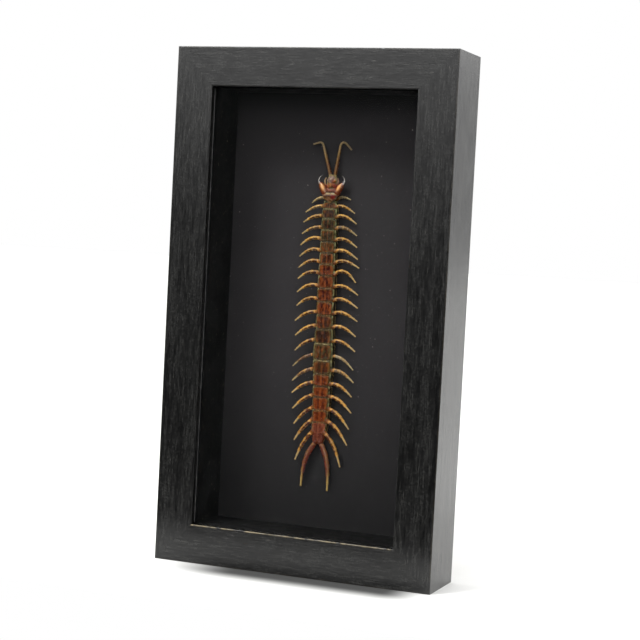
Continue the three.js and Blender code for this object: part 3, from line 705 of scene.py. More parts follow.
# The body between its plates: a superellipse section along the trunk, drawn in at each band,
# grooved beside the belly plates, wrinkled on the flanks and swollen round each leg's root.
def bodySkin(fromZ, toZ):
    rows = int(abs(fromZ - toZ) * bodySpec["rowsPerMm"]) + 2
    z = np.linspace(fromZ, toZ, rows)[:, None]
    angle = circle(bodySpec["sides"])
    c, s = np.cos(angle), np.sin(angle)
    a = blunt(c, 0.8)
    h = 0.46 + 0.47 * blunt(s, 0.72)
    band = sum(bell(z, b, 0.75) for b in bandZ[:20])
    folds = sum(bell(z, b, 1.3) for b in bandZ[:20])
    flank = bell(np.abs(a), 0.92, 0.3)
    width = halfWidth(z) * (1 - bodySpec["pinch"] * band * 0.7)
    x = centreX(z) + a * width
    high = trunk["lift"] + thickness(z) * (h - 0.1 * band * (s > 0) * s)
    place = over(x, z, high)
    outward = np.stack(np.broadcast_arrays(c, -s * 0.8, 0 * z), -1)
    push = bodySpec["fold"] * np.sin(2 * np.pi * z / bodySpec["foldPitch"] + ripple(place, 4, 5)) * folds
    crease = 1 - np.abs(ripple(place, 1.9, 11, (1, 1, 0.7)))
    push = push + bodySpec["wrinkle"] * (crease - 0.5) * flank
    push = push - bodySpec["groove"] * bell(np.abs(a), 0.7, 0.055) * (s > 0) * (1 - 0.6 * band)
    for side in ("left", "right"):
        for pair in range(2, 21):
            gap = np.linalg.norm(place - legRoot(side, pair), axis=-1)
            push = push + 0.35 * bell(gap, 0, 1.6) - 0.14 * bell(gap, 1.9, 0.25)
    # Painted light in the tone: darker where the skin is pushed in, in folds, creases and the grooves
    # beside the plates, paler where it swells, and darkest on the outermost flanks as shade. Beside the
    # plates a pale line of painted highlight runs along the margin; the pale flecks on the front flanks are
    # the shell's own.
    tone = 0.5 - 0.6 * push + 0.25 * ripple(place, 3.2, 21) - 0.4 * band + 0.7 * ease(0.9, 1.0, np.abs(a))
    marginHighlightAndFlecks = (bell(np.abs(a), 0.86, 0.045) * (s > 0)
        * (0.4 + 0.9 * ripple(place, 2.2, 25) + 0.3 * ease(140, 190, z)))
    flecks = (ease(0.35, 0.7, ripple(place, 1.3, 27)) * bell(np.abs(a), 0.8, 0.12) * (s > 0)
        * ease(185, 195, z))
    marginHighlightAndFlecks = marginHighlightAndFlecks + 0.8 * flecks
    return closedSkin(place + outward * push[..., None], shades(tone, tailward(z), marginHighlightAndFlecks))


bodyMaterial = shellMaterial("driedSoftBody", bodyLook)
lengths = {"Front": (trunk["top"], bandZ[6], "trunk_front"),
    "Middle": (bandZ[6], bandZ[13], "trunk_middle"), "Rear": (bandZ[13], bandZ[19], "trunk_rear")}
for name, (fromZ, toZ, node) in lengths.items():
    addPiece(f"softBody{name}", bodySkin(fromZ + 0.3, toZ - 0.3), bodyMaterial, [node])

neckSpec = {"top": 218.6, "bottom": 211, "height": 1.35, "halfWidth": 4.25, "halfDepth": 1.0, "rows": 12}
neckZ = np.linspace(neckSpec["top"], neckSpec["bottom"], neckSpec["rows"])
neckWidth = neckSpec["halfWidth"] - 0.5 * np.linspace(1, 0, neckSpec["rows"]) ** 4
neckPath = over(centreX(neckZ), neckZ, neckSpec["height"])
neck = shaded(tube(neckPath, neckWidth, neckSpec["halfDepth"], 40), 0.6, 0.0, 0.0)
addPiece("neck", neck, bodyMaterial)
print("soft body done")


bellySpec = {"share": 0.83, "shell": 0.22, "proud": 0.1, "suture": 0.24, "suturePlace": 0.27, "sunk": 0.16,
    "rim": 0.05, "rows": 46, "columns": 56}
bellyLook = look("#6e3c1a", "#150707", "#7c3816", "#320c06", edgeColour="#57532e", grain=0.3,
    mottleScale=520.0, rough=(0.16, 0.3), gloss=0.1, relief=0.6, wrinkleScale=700.0,
    wrinkleStretch=(1.6, 1.0, 0.5))


# A plate's places: v along it from 0 to 1 and u across it from -1 to 1 and back underneath, both
# closer set near the margins, then how far v and u are from the plate's middle.
def plateGrid(rows, columns):
    top = np.sin(np.pi / 2 * np.linspace(-1, 1, columns))
    across = np.concatenate([top, top[::-1][1:-1]])
    under = np.concatenate([np.zeros(columns), np.ones(columns - 2)])
    v, u = closeEnds(0.02, 0.98, rows), across[None]
    return v, u, under[None], np.abs(2 * v - 1), np.abs(u)


plateShade = {  # how much darker, and how much greener, some plates are
    2: (-0.35, 0.1), 3: (-0.12, 0.1), 4: (-0.05, 0.3), 5: (-0.05, 0.3), 6: (-0.1, 0.35), 7: (0, 0.1),
    12: (0.1, 0.1), 13: (0.28, 0.1), 14: (0.2, 0.35), 15: (0.14, 0.15),
}


# A belly plate. Its half width is a superellipse of its length, so the corners are round. Its
# height is the trunk's, less a roll-off at the margins and two long grooves, with the fields
# beside them sunk and the rim raised. The under side lies a shell's thickness below.
def bellyPlate(front, rear, pair):
    spec = bellySpec
    v, u, under, end, centred = plateGrid(spec["rows"], spec["columns"])
    z = front + (rear - front) * v + 0.3 * (1 - u * u) * (v - 0.5) * (rear - front) / abs(rear - front)
    half = halfWidth(z) * spec["share"] * (1 - end ** 6) ** (1 / 5) * (1 - 0.05 * v)
    x = centreX(z) + u * half
    rear20 = pair / 20
    suture = bell(centred, spec["suturePlace"], 0.05) * (1 - 0.4 * ease(0.75, 1, v))
    fields = bell(centred, 0.64, 0.24) * (1 - end ** 4)
    h = trunk["lift"] + thickness(z) * (0.985 - 0.05 * centred ** 2.5) + spec["proud"]
    h = h - 0.22 * centred ** 10 - 0.2 * end ** 12
    place = over(x, z, h)
    h = (h - spec["suture"] * suture - spec["sunk"] * fields
        + spec["rim"] * bell(centred, 0.93, 0.05) * (1 - end ** 8))
    h = h + 0.07 * bell(v, 0.93, 0.05) - 0.06 * bell(v, 0.86, 0.04)
    h = h + 0.13 * ripple(place, 3.2, 31 + pair) + 0.04 * ripple(place, 1.1, 60 + pair)
    h = h - under * spec["shell"]
    streaks = ripple(place, 1.5, 90 + pair, (1, 1, 5)) + 0.6 * ripple(place, 0.8, 120 + pair, (1, 1, 4))
    blots = ripple(place, 2.6, 140 + pair)
    shade, green = plateShade.get(pair, (0.0, 0.0))
    stripe = np.random.default_rng(pair).uniform(0.0, 0.3, 2)
    dark = 0.93 - 0.43 * ease(0.18, 0.4, rear20) + shade
    calm = 1 - 0.5 * ease(0.6, 0.9, rear20)
    tone = (dark + (0.26 * streaks + 0.22 * blots + stripe[0] * bell(u, 0.3, 0.16)
        + stripe[1] * bell(u, -0.3, 0.16)) * calm + 0.1 * suture)
    tone = tone - 0.25 * bell(u, 0.02 * blots, 0.06) - 0.2 * bell(centred, 0.8, 0.12)
    sideEdge = ease(0.7 + 0.12 * blots, 1.0, centred)
    endEdge = 1 - ease(0.0, 0.2, v + 0.07 * blots) + ease(0.84, 1.0, v + 0.06 * streaks)
    broken = 0.55 + 0.55 * ripple(place, 1.9, 160 + pair)
    edge = (sideEdge + 0.6 * endEdge) * broken + green * (0.6 + 0.7 * blots)
    return closedSkin(over(x, z, h), shades(tone, tailward(z), edge))


stripPale = {3: 0.25, 4: 0.25, 5: 0.2, 14: 0.8, 15: 0.6}  # how bleached the strip before a pair's plate is
stripDark = {6: 0.45, 7: 0.2, 9: 0.2, 17: 0.35, 18: 0.3, 19: -0.1, 20: -0.05}  # how much darker


# The narrow strip between two belly plates: the same kind of plate, short and low.
def stripPlate(front, rear, pair):
    v, u, under, end, centred = plateGrid(14, 26)
    z = front + (rear - front) * v - 0.25 * (1 - u * u)
    half = halfWidth(z) * 0.72 * (1 - end ** 3) ** (1 / 3)
    x = centreX(z) + u * half
    crown = 1 - end ** 2.5
    h = trunk["lift"] + thickness(z) * (0.94 - 0.05 * u * u) + 0.12 * crown
    place = over(x, z, h)
    h = h + 0.08 * ripple(place, 1.6, 131 + pair) - 0.12 * bell(centred, 0.4, 0.07) - under * 0.18
    pale = stripPale.get(pair, 0.0)
    tone = 0.62 - 0.25 * pale + stripDark.get(pair, 0.0) + 0.4 * ripple(place, 1.5, 151 + pair)
    line = bell(v, 0.45, 0.2)
    edge = pale * line * (0.5 + 1.1 * ripple(place, 1.4, 181 + pair) + 0.8 * bell(u, 0.3, 0.2))
    return closedSkin(over(x, z, h), shades(tone, tailward(z), edge))


bellyMaterial = shellMaterial("bellyPlateShell", bellyLook)
stripLook = look("#666034", "#221e0c", "#7a5020", "#34200c", edge=0.85, edgeColour="#b8ae80", mottle=0.7,
    mottleScale=700.0, rough=(0.24, 0.4), gloss=0.15, relief=0.6)
stripMaterial = shellMaterial("stripShell", stripLook)
tailLook = look("#743e28", "#4a190f", edge=0.35, edgeColour="#a8744a", mottle=0.8, mottleScale=600.0,
    gloss=0.15, relief=0.6, wrinkleScale=1400.0)
tailMaterial = shellMaterial("tailShell", tailLook)
plateFronts = np.minimum(bandZ[:19], trunk["top"])
for pair in range(2, 21):
    front, rear = plateFronts[pair - 2], bandZ[pair - 1]
    addPiece(f"bellyPlate{pair:02d}", bellyPlate(front - 0.75, rear + 0.25, pair),
        tailMaterial if pair == 20 else bellyMaterial)
    addPiece(f"bellyStrip{pair:02d}", stripPlate(front + 0.2, front - 0.75, pair), stripMaterial)

backSpec = {"shell": 0.2, "curlUp": 0.27, "rows": 24, "columns": 40}
backLook = look("#5e4020", "#2c120a", "#6e3818", "#44180a", edge=0.9, edgeColour="#b59c62", mottle=0.5,
    rough=(0.2, 0.36))


# A back plate lies towards the card, and its side margins curl up towards the belly.
def backPlate(front, rear, pair):
    v, u, under, end, centred = plateGrid(backSpec["rows"], backSpec["columns"])
    z = front + (rear - front) * v
    half = halfWidth(z) * (1 - end ** 10) ** (1 / 8)
    x = centreX(z) + u * half * (1 - under * 0.03)
    h = 0.06 + thickness(z) * backSpec["curlUp"] * centred ** 5 + 0.25 * u * u + under * backSpec["shell"]
    tone = 0.75 + 0.2 * ripple(over(x, z, h), 3, 171 + pair)
    return closedSkin(over(x, z, h), shades(tone, tailward(z), bell(centred, 1, 0.06)))


backMaterial = shellMaterial("backPlateShell", backLook)
for pair in range(2, 21):
    addPiece(f"backPlate{pair:02d}", backPlate(plateFronts[pair - 2] + 0.1, bandZ[pair - 1] - 0.15, pair),
        backMaterial)
print("plates done")


legSpec = {"sides": 22, "rows": 26, "flat": 0.88, "groove": 0.22, "grooveWidth": 0.42, "grooveTurn": 0.5,
    "straight": 0.55, "start": 0.75}
articles = [  # where each ends along the leg, and its radius near its root and at its end
    {"end": 0.27, "near": 0.92, "far": 0.93}, {"end": 0.48, "near": 0.84, "far": 0.82},
    {"end": 0.66, "near": 0.7, "far": 0.68}, {"end": 0.82, "near": 0.46, "far": 0.45},
    {"end": 0.965, "near": 0.38, "far": 0.31},
]
legLook = look("#d09e44", "#3a1a08", "#ca943e", "#461a08", edgeColour="#b8aa7c", mottle=1.7, grain=0.6,
    mottleScale=700.0, rough=(0.16, 0.3), gloss=0.45, relief=0.35, wrinkleScale=1100.0)
lastLook = look("#a48c4e", "#5a241a", edge=0.3, edgeColour="#b08a50", mottle=0.8, mottleScale=600.0,
    relief=0.35, wrinkleScale=1000.0, dust=0.06)


# One article of a limb: its line is part chord and part curve. Its radius starts as a neck,
# fills out, ends in a rim and turns in again, and a lengthwise groove runs down it. The values
# are a function of the places along and round it that gives its tone, edge and redness.
def articleSkin(line, start, end, near, far, thick, sides, rows, groove, values, grooveAngle=1.57):
    t = np.linspace(0, 1, rows)
    path = spots(line, start + (end - start) * t)
    chord = path[0] + (path[-1] - path[0]) * t[:, None]
    path = chord * legSpec["straight"] + path * (1 - legSpec["straight"])
    body = 0.8 + 0.2 * ease(0, 0.14, t) - 0.05 * bell(t, 0.45, 0.25) + 0.07 * bell(t, 0.9, 0.07)
    body = body * (1 - 0.28 * ease(0.95, 1.0, t))
    radius = (near + (far - near) * t) * thick * body
    angle = circle(sides)
    channel = bell(t, 0.5, 0.38)[:, None] * bell(wrapped(angle - grooveAngle), 0, legSpec["grooveWidth"])
    made = tube(path, radius, radius * legSpec["flat"], sides, 1 - groove * channel)
    joint = np.clip(bell(t, 0, 0.07) + bell(t, 0.97, 0.05), 0, 1)[:, None] + 0 * angle
    share = (start + (end - start) * t)[:, None] + 0 * angle
    return shaded(made, *values(share, channel * (groove > 0), joint, angle))


legShade = {  # how much darker, and how much more bleached, some legs are
    ("left", 1): (0.3, 0.5), ("right", 1): (0.6, 0.4), ("left", 2): (0, 0.2), ("left", 4): (0.1, 0.1),
    ("right", 4): (0.35, 0.15),
    ("left", 14): (0.5, 0.1), ("right", 14): (0.2, 0.45), ("left", 15): (0.15, 0.1),
    ("right", 15): (0.15, 0.2),
}


# A leg is its five articles along one line, each between two shares of its length.
def legSkin(side, pair):
    line = legLine(side, pair)
    first = legSpec["start"] / lengthOf(line)
    thick = legSize("thickness", side, pair)
    deepen = 0.45 + 0.9 * legSpec["groove"] * ease(8, 16, pair)
    spin = np.random.default_rng(pair * 2 + (side == "left")).uniform(-0.12, 0.12)
    back = ease(1, 21, pair)
    shift, bleach = legShade.get((side, pair), (0.0, 0.0))
    grooveAngle = np.pi / 2 - legSpec["grooveTurn"] * signOf(side)

    def values(share, grooveShade, joint, turn):
        facing = turn - (np.pi if side == "left" else 0)
        # Painted light: the underside is painted darker as shade, the ridge above it paler as a highlight,
        # and the groove darker as its shade.
        under = bell(wrapped(facing), 0, 1.15)
        paintedRidgeHighlight = bell(wrapped(facing + 1.9 * signOf(side)), 0, 0.55)
        tone = 0.38 - 0.1 * ease(0.55, 0.8, share) + 0.18 * under - 0.3 * paintedRidgeHighlight
        tone = tone + (0.9 + 0.2 * back) * grooveShade * (1 - ease(0.5, 0.62, share))
        tone = tone + spin + shift + 0.4 * back * bell(share, 0.15, 0.06)
        if pair == 21:
            tone = 0.95 - 0.7 * ease(0.5, 0.95, share) + 0.4 * (under - 0.5)
        pale = 0.62 * ease(0.64, 0.7, share) * (pair < 21)
        return tone, 0.4 * joint + pale + bleach, back

    skins, start = [], 0
    for k, size in enumerate(articles):
        groove = legSpec["groove"] * deepen * 2 * (1, 0.9, 0.6, 0.2, 0)[k]
        begin = first + (1 - first) * start - (0.012 if k else 0)
        end = first + (1 - first) * size["end"]
        skins.append(articleSkin(line, begin, end, size["near"], size["far"], thick, legSpec["sides"],
            legSpec["rows"], groove, values, grooveAngle))
        start = size["end"]
    return joined(skins)


legMaterial = shellMaterial("walkingLegShell", legLook)
lastMaterial = shellMaterial("lastLegShell", lastLook)
for side in ("left", "right"):
    for pair in range(1, 22):
        material, slotName = (lastMaterial, "last_legs") if pair == 21 else (legMaterial, "legs")
        name, node = f"leg{side.capitalize()}{pair:02d}", f"leg_{side}_{pair:02d}"
        addPiece(name, legSkin(side, pair), material, [node])

clawSpec = {"radius": 0.2, "bend": 0.25}
hardLook = look("#6a3a1a", "#170b06", edge=0.0, mottle=0.3, rough=(0.1, 0.18), gloss=0.6, relief=0.1,
    dust=0.0)


# A claw is a cone carried along the end of its leg's line and a little down: its radius falls
# with the root of what is left of its length.
def clawSkin(line, thick, sides=8):
    t = np.linspace(0, 0.97, 7)
    path = spots(line, 0.955 + 0.045 * t)
    path[:, 1] += clawSpec["bend"] * t * t
    radius = clawSpec["radius"] * thick * np.sqrt(1 - t)
    made = tube(path, radius, radius, sides)
    shaded(made, np.repeat(t, sides), 0.0, 0.0)
    made["values"]["tone"][-1] = 1
    return made


hardMaterial = shellMaterial("darkHardTips", hardLook)
for side in ("left", "right"):
    claws = [clawSkin(legLine(side, pair), legSize("thickness", side, pair)) for pair in range(1, 22)]
    addPiece(f"legClaws{side.capitalize()}", joined(claws), hardMaterial)

hipSpec = {
    "inner": 1.9, "outer": 0.5,
    "radii": [(-1.9, 1.15), (-1.2, 1.32), (-0.5, 1.18), (0, 1.02), (0.3, 1.0), (0.42, 0.92), (0.5, 0.7)],
    "ringRadii": [(0.2, 0.7), (0.5, 0.86), (0.75, 0.95), (1.0, 0.92), (1.2, 0.75)],
}
hipLook = look("#bc863a", "#46220c", "#bc7630", "#4c1c0a", edge=0.4, edgeColour="#a8935a", mottle=0.8,
    mottleScale=600.0, rough=(0.2, 0.36))


# The hip that carries a leg, and the pale ring beyond it. Radii are read along its line.
def hipSkins(side, pair):
    line = legLine(side, pair)
    root = line[0]
    run = unit(line[4] - line[0])
    run = unit(run * np.array([1, 0, 1]))
    thick = legSize("thickness", side, pair) / 1.1
    back = float(tailward(legZ[pair - 1]))
    last = pair == 21
    t = np.linspace(-hipSpec["inner"], hipSpec["outer"], 18)
    radius = reading(hipSpec["radii"], t, 0.08) * thick
    hip = tube(root + run * t[:, None], radius, radius * 0.86, 26)
    pale = np.repeat(bell(t, 0.35, 0.16), 26) * (not last)
    shaded(hip, np.repeat(0.6 - 0.3 * t / hipSpec["inner"] + last, 26), pale, back)
    t = np.linspace(0.2, 1.2, 12)
    radius = reading(hipSpec["ringRadii"], t, 0.05) * thick
    ring = tube(root + run * t[:, None], radius, radius * 0.88, 22)
    return [hip, shaded(ring, 0.25 + 0.5 * last, 0.1, back)]


hipMaterial = shellMaterial("hipShell", hipLook)
for side in ("left", "right"):
    hips = sum([hipSkins(side, pair) for pair in range(1, 22)], [])
    addPiece(f"hips{side.capitalize()}", joined(hips), hipMaterial)
print("legs done")


tailSpec = {
    "spineLength": 0.45, "spineRadius": 0.12, "halfWidths": [(73, 2.7), (75, 3.4), (77, 4.0), (78.7, 4.4)],
    "spurLine": [(0.9, 74.2, 3.0), (0.82, 73.2, 3.05), (0.75, 72.4, 3.0)],
    "spurRadii": [(0, 0.75), (0.5, 0.5), (1, 0.16)],
    "legSpines": (0.09, 0.14, 0.19, 0.24, 0.27), "plateEnd": 74.0, "backPlateEnd": 73.4,
}


# A rounded lump: an ellipsoid whose rings shrink as the root of one less the square of the
# distance from its middle, roughened a little.
def lumpSkin(x, z, h, halfX, halfZ, halfH, seed, rows=26, columns=34, rough=0.03):
    t = np.sin(np.pi / 2 * np.linspace(-0.98, 0.98, rows))[:, None]
    angle = circle(columns)
    ring = np.sqrt(1 - t * t)
    grid = over(x + halfX * ring * np.cos(angle), z + halfZ * t, h + halfH * ring * np.sin(angle))
    grid = grid + (grid - over(x, z, h)) * (rough * ripple(grid, 1.4, seed))[..., None]
    return closedSkin(grid)


tailX = float(centreX(trunk["end"]))
tailTop = bandZ[19] - 0.15
tailZ = np.linspace(tailTop + 0.4, trunk["end"] + 0.5, 40)[:, None]
around = circle(90)
tailWidth = reading(tailSpec["halfWidths"], tailZ, 0.4)
tailGrid = over(centreX(tailZ) + tailWidth * blunt(np.cos(around), 0.8), tailZ,
                trunk["lift"] + thickness(tailZ) * (0.45 + 0.44 * blunt(np.sin(around), 0.8)))
tailBody = shaded(closedSkin(tailGrid), 0.7)
lumps = [shaded(lumpSkin(tailX + s * 2.1, 75.6, 2.6, 1.5, 3.1, 1.75, 200 + s), 0.6, 0.0) for s in (-1, 1)]
addPiece("tailBody", tailBody, tailMaterial, ["tail_segment"])
addPiece("tailSideLumps", joined(lumps), tailMaterial)


# The last belly plate narrows to the rear: the plate's formula with a tapering half width.
def tailPlate():
    v, u, under, end, centred = plateGrid(30, 34)
    z = tailTop - 0.3 + (tailSpec["plateEnd"] - tailTop) * v
    half = (2.9 - 1.15 * v) * (1 - end ** 5) ** (1 / 4)
    x = centreX(z) + u * half
    h = 4.7 - 0.9 * v - 0.35 * centred ** 3 - 0.15 * bell(u, 0, 0.05) * ease(0.2, 0.6, v)
    h = h + 0.08 * bell(centred, 0.9, 0.06)
    h = h + 0.06 * ripple(over(x, z, h), 2.2, 211) - under * 0.2
    edge = bell(centred, 0.97, 0.06) + bell(v, 0.97, 0.05)
    tone = 0.75 - 0.4 * bell(u, 0, 0.3) + 0.2 * ripple(over(x, z, h), 1.7, 212)
    return closedSkin(over(x, z, h), shades(tone, tailward(z), edge))


addPiece("tailBellyPlate", tailPlate(), tailMaterial)
addPiece("tailBackPlate", backPlate(tailTop + 0.3, tailSpec["backPlateEnd"], 21), backMaterial)


# Small dark spines stand on the tail's spurs and along the last legs' first articles. Each is
# a cone from a foot along a direction.
def spineSkin(foot, direction, length, radius):
    t = np.linspace(0, 0.96, 5)
    path = np.array(foot) + np.array(unit(np.array(direction, float))) * length * t[:, None]
    size = radius * (1 - t)
    return shaded(tube(path, size, size, 7), 0.8)


spurs, spines = [], []
for side in (-1, 1):
    path = smoothPath([over(tailX + side * offset, z, h) for offset, z, h in tailSpec["spurLine"]], 16)
    size = reading(tailSpec["spurRadii"], np.linspace(0, 1, 16))
    spurs.append(shaded(tube(path, size, size, 18), 0.0, 1.0))
    for k in range(3):
        foot = over(tailX + side * (0.75 + 0.12 * (k - 1)), 72.6 + 0.12 * k, 3.05 + 0.1 * k)
        spines.append(spineSkin(foot, (side * 0.25 * (k - 1), -0.2, -1), tailSpec["spineLength"],
            tailSpec["spineRadius"]))
for side in ("left", "right"):
    line = legLine(side, 21)
    for k, share in enumerate(tailSpec["legSpines"]):
        foot = spots(line, [share])[0]
        inward = -signOf(side)
        spines.append(spineSkin(foot + np.array([inward * 0.75, -0.45 - 0.1 * (k % 2), 0]),
            (inward * 0.8, -0.5, -0.8), 0.5, 0.13))
addPiece("tailSpurs", joined(spurs), tailMaterial)
addPiece("tailSpines", joined(spines), hardMaterial)
print("tail done")


headSpec = {
    "x": 1.3, "plateFront": 219.0, "plateBack": 214.1,
    "front": 230.4, "back": 219.35, "shieldFront": 229.75,
    "halfWidths": [(219.3, 2.6), (221.5, 3.2), (223.5, 3.35), (226, 3.25), (228, 2.9), (229.3, 2.35),
        (230.1, 1.65), (230.5, 0.9)],
    "plateHalfWidths": [(0, 0.9), (0.12, 1.7), (0.4, 3.5), (0.7, 4.75), (0.88, 5.2), (1, 4.7)],
    "plateHeights": [(0, 5.0), (0.3, 5.5), (0.8, 5.85), (1, 5.5)],
}
headX = headSpec["x"]
headLook = look("#8f8058", "#4e2c1a", edge=0.7, edgeColour="#a89a64", mottleScale=520.0, relief=0.45,
    wrinkleScale=1100.0)
claspLook = look("#7e5c38", "#3a1e12", "#7a2a24", "#50120e", edge=0.4, edgeColour="#9a7a40",
    mottleScale=480.0, relief=0.4)
fangLook = look("#cc8c40", "#5a220c", "#2a120a", "#120604", edgeColour="#d6cfc2", mottle=0.5, grain=0.15,
    rough=(0.18, 0.28), gloss=0.8, relief=0.12, dust=0.03)
faceLook = look("#a08c7c", "#5e4640", "#b87830", "#6a1c14", edge=0.5, edgeColour="#a08c4c", gloss=0.15,
    mottleScale=620.0, wrinkleScale=1300.0)
headMaterial = shellMaterial("headShell", headLook)
claspMaterial = shellMaterial("clawPlateShell", claspLook)
fangMaterial = shellMaterial("poisonClawShell", fangLook)
faceMaterial = shellMaterial("mouthpartShell", faceLook)


# The plate that carries the poison claws: a shield, widest near its front, with a groove down
# the middle of its front half.
def clawPlate():
    rows, columns = 60, 110
    v = closeEnds(0.03, 0.97, rows)
    angle = circle(columns)
    z = headSpec["plateBack"] + (headSpec["plateFront"] - headSpec["plateBack"] + 0.1) * v
    half = reading(headSpec["plateHalfWidths"], v, 0.05)
    c, s = np.cos(angle), np.sin(angle)
    u = blunt(c, 0.85)
    x = headX + u * half
    high = reading(headSpec["plateHeights"], v, 0.06)
    h = (2.7 + high) / 2 + (high - 2.7) / 2 * blunt(s, 0.62)
    place = over(x, z, h)
    upper = s > 0
    groove = 0.3 * bell(u, 0, 0.045) * ease(0.25, 0.6, v)
    groove = groove + 0.14 * bell(np.abs(u), 0.16 + 0.5 * v, 0.05) * bell(v, 0.35, 0.3)
    h = h - upper * groove + upper * 0.07 * ripple(place, 2.6, 301) + upper * 0.08 * bell(v, 0.95, 0.04)
    tone = 0.65 + 0.3 * ripple(place, 2.5, 302) - 0.4 * ease(0.82, 0.98, v)
    red = ease(0.0, 0.25, u) * (1 - ease(0.6, 0.85, u)) * ease(0.3, 0.5, v) * (1 - ease(0.8, 0.95, v))
    edge = bell(v, 0.98, 0.05) + 0.4 * bell(u, 0, 0.03) + 1.3 * bell(v, 0.04, 0.1) * bell(u, 0, 0.6)
    return closedSkin(over(x, z, h), shades(tone, red, edge))


addPiece("clawPlate", clawPlate(), claspMaterial, ["forcipular_plate"])

toothSpec = {"inner": 0.2, "width": 2.6, "height": 4.95, "teeth": (0.32, 0.3, 0.28, 0.36), "length": 0.75}
toothPlates, teeth = [], []
for sign in (-1, 1):
    v = closeEnds(0.05, 0.95, 20)
    angle = circle(40)
    c, s = np.cos(angle), np.sin(angle)
    half = toothSpec["width"] / 2
    x = headX + sign * (toothSpec["inner"] + half) + half * blunt(c, 0.6) * (1 - 0.12 * v)
    h = toothSpec["height"] + 0.5 * blunt(s, 0.6) * (1 - 0.35 * v)
    z = headSpec["plateFront"] - 0.7 + 1.75 * v + 0 * angle
    edge = 0.8 * (1 - ease(0.4, 0.9, v))
    toothPlates.append(closedSkin(over(x, z, h), shades(0.3 + 0.7 * ease(0.7, 1, v), 0.0, edge)))
    place = toothSpec["inner"] + 0.28
    for k, size in enumerate(toothSpec["teeth"]):
        foot = over(headX + sign * place, headSpec["plateFront"] + 0.85 - 0.06 * k,
            toothSpec["height"] + 0.05)
        t = np.linspace(0, 0.98, 8)
        path = (foot + np.array([0, 0, 1.0]) * toothSpec["length"] * t[:, None]
            * size / toothSpec["teeth"][0])
        radius = size * np.sqrt(1 - t * t)
        teeth.append(shaded(tube(path, radius, radius * 0.9, 12), 0.55))
        place += 0.6
addPiece("toothPlates", joined(toothPlates), headMaterial)
addPiece("teeth", joined(teeth), hardMaterial)

fangSpec = {
    "line": [
        (3.3, 218.0, 4.0), (4.2, 220.2, 4.1), (5.2, 222.3, 4.1), (6.3, 224.2, 4.0), (7.3, 225.5, 3.8),
        (7.8, 227.0, 3.6),
        (7.4, 228.5, 3.4), (6.5, 229.5, 3.2), (5.5, 229.9, 3.1),
    ],
    "radii": [
        (0, 1.55), (0.09, 1.78), (0.18, 1.9), (0.27, 1.97), (0.36, 1.95), (0.45, 1.8), (0.5, 1.6),
        (0.55, 1.3), (0.6, 1.0),
        (0.66, 0.72), (0.73, 0.56), (0.82, 0.43), (0.91, 0.28), (1, 0.06),
    ],
    "parts": {"Thigh": (0.0, 0.46), "Knee": (0.435, 0.515), "Shin": (0.495, 0.57), "Fang": (0.55, 1.0)},
}


# A smooth line beside the head, from places given as far out, high up and off the card.
def headLine(side, places, count):
    return smoothPath([over(headX + signOf(side) * offset, z, h) for offset, z, h in places], count)


# A poison claw's article: part of one bent line, read between two shares of its length, with a
# rim at its far end and a little neck at its near end. The fang has none and ends in a point.
def fangPart(side, part):
    start, end = fangSpec["parts"][part]
    line = headLine(side, fangSpec["line"], 200)
    rows = {"Thigh": 60, "Fang": 44}.get(part, 20)
    t = np.linspace(0, 1, rows)
    share = start + (end - start) * t
    path = spots(line, share)
    radius = reading(fangSpec["radii"], share, 0.02)
    if part != "Fang":
        radius = radius * (1 - 0.2 * (1 - ease(0, 0.14, t))) * (1 + 0.05 * bell(t, 0.92, 0.06))
        radius = radius * (1 - 0.3 * ease(0.94, 1, t))
    else:
        radius = radius * (0.88 + 0.12 * ease(0, 0.12, t)) * np.sqrt(1 - 0.98 * t ** 12)
    sides = 44 if part == "Thigh" else 28
    made = tube(path, radius, radius * 0.78, sides)
    angle = circle(sides)
    # Painted light: the thigh's face towards the glass is painted pale as a highlight and its sides deeper
    # as shade, and a pale line of painted glint runs along the outer curve of the fang and of each rim.
    paintedHighlight = bell(np.cos(angle), -0.25 * signOf(side), 0.55) * bell(share[:, None], 0.38, 0.17)
    dark = ease(0.53, 0.66, share)[:, None] + 0 * angle
    outer = bell(wrapped(angle - (2.15 if side == "left" else 0.99)), 0, 0.3)
    wearAndGlint = bell(t, 0.4, 0.42) if part == "Fang" else 0.1 * bell(t, 0.93, 0.05)
    return shaded(made, 0.95 - 0.95 * paintedHighlight, outer * wearAndGlint[:, None], dark)


for side in ("left", "right"):
    for part in fangSpec["parts"]:
        replaced = [f"forcipule_{side}"] if part == "Thigh" else []
        addPiece(f"poisonClaw{part}{side.capitalize()}", fangPart(side, part), fangMaterial,
            replaced)
    nub = shaded(lumpSkin(headX + signOf(side) * 2.6, 220.6, 4.6, 0.42, 0.6, 0.42, 330), 0.8, 0, 0.4)
    addPiece(f"poisonClawNub{side.capitalize()}", nub, fangMaterial)


# The head capsule: flat oval rings whose half width is read along its length, with the rim
# raised round a sunken face.
def headSkin():
    rows, columns = 90, 120
    v = closeEnds(0.02, 0.98, rows)
    z = headSpec["back"] + (headSpec["front"] - headSpec["back"]) * v
    angle = circle(columns)
    c, s = np.cos(angle), np.sin(angle)
    half = reading(headSpec["halfWidths"], z, 0.4)
    u = blunt(c, 0.85)
    h = 2.15 + 1.55 * blunt(s, 0.5)
    inside = 1 - ease(0.72, 0.92, np.abs(u))
    h = h - (s > 0) * 0.55 * inside * ease(0.05, 0.2, v) * (1 - ease(0.86, 0.97, v))
    place = over(headX + u * half, z, h)
    h = h + 0.05 * ripple(place, 1.7, 341)
    edge = (s > 0) * (bell(np.abs(u), 0.9, 0.07) + 0.3 * bell(v, 0.95, 0.05))
    return closedSkin(over(headX + u * half, z, h), shades(0.55 + 0.3 * ripple(place, 2.2, 342), 0.0, edge))


addPiece("headCapsule", headSkin(), headMaterial, ["head"])


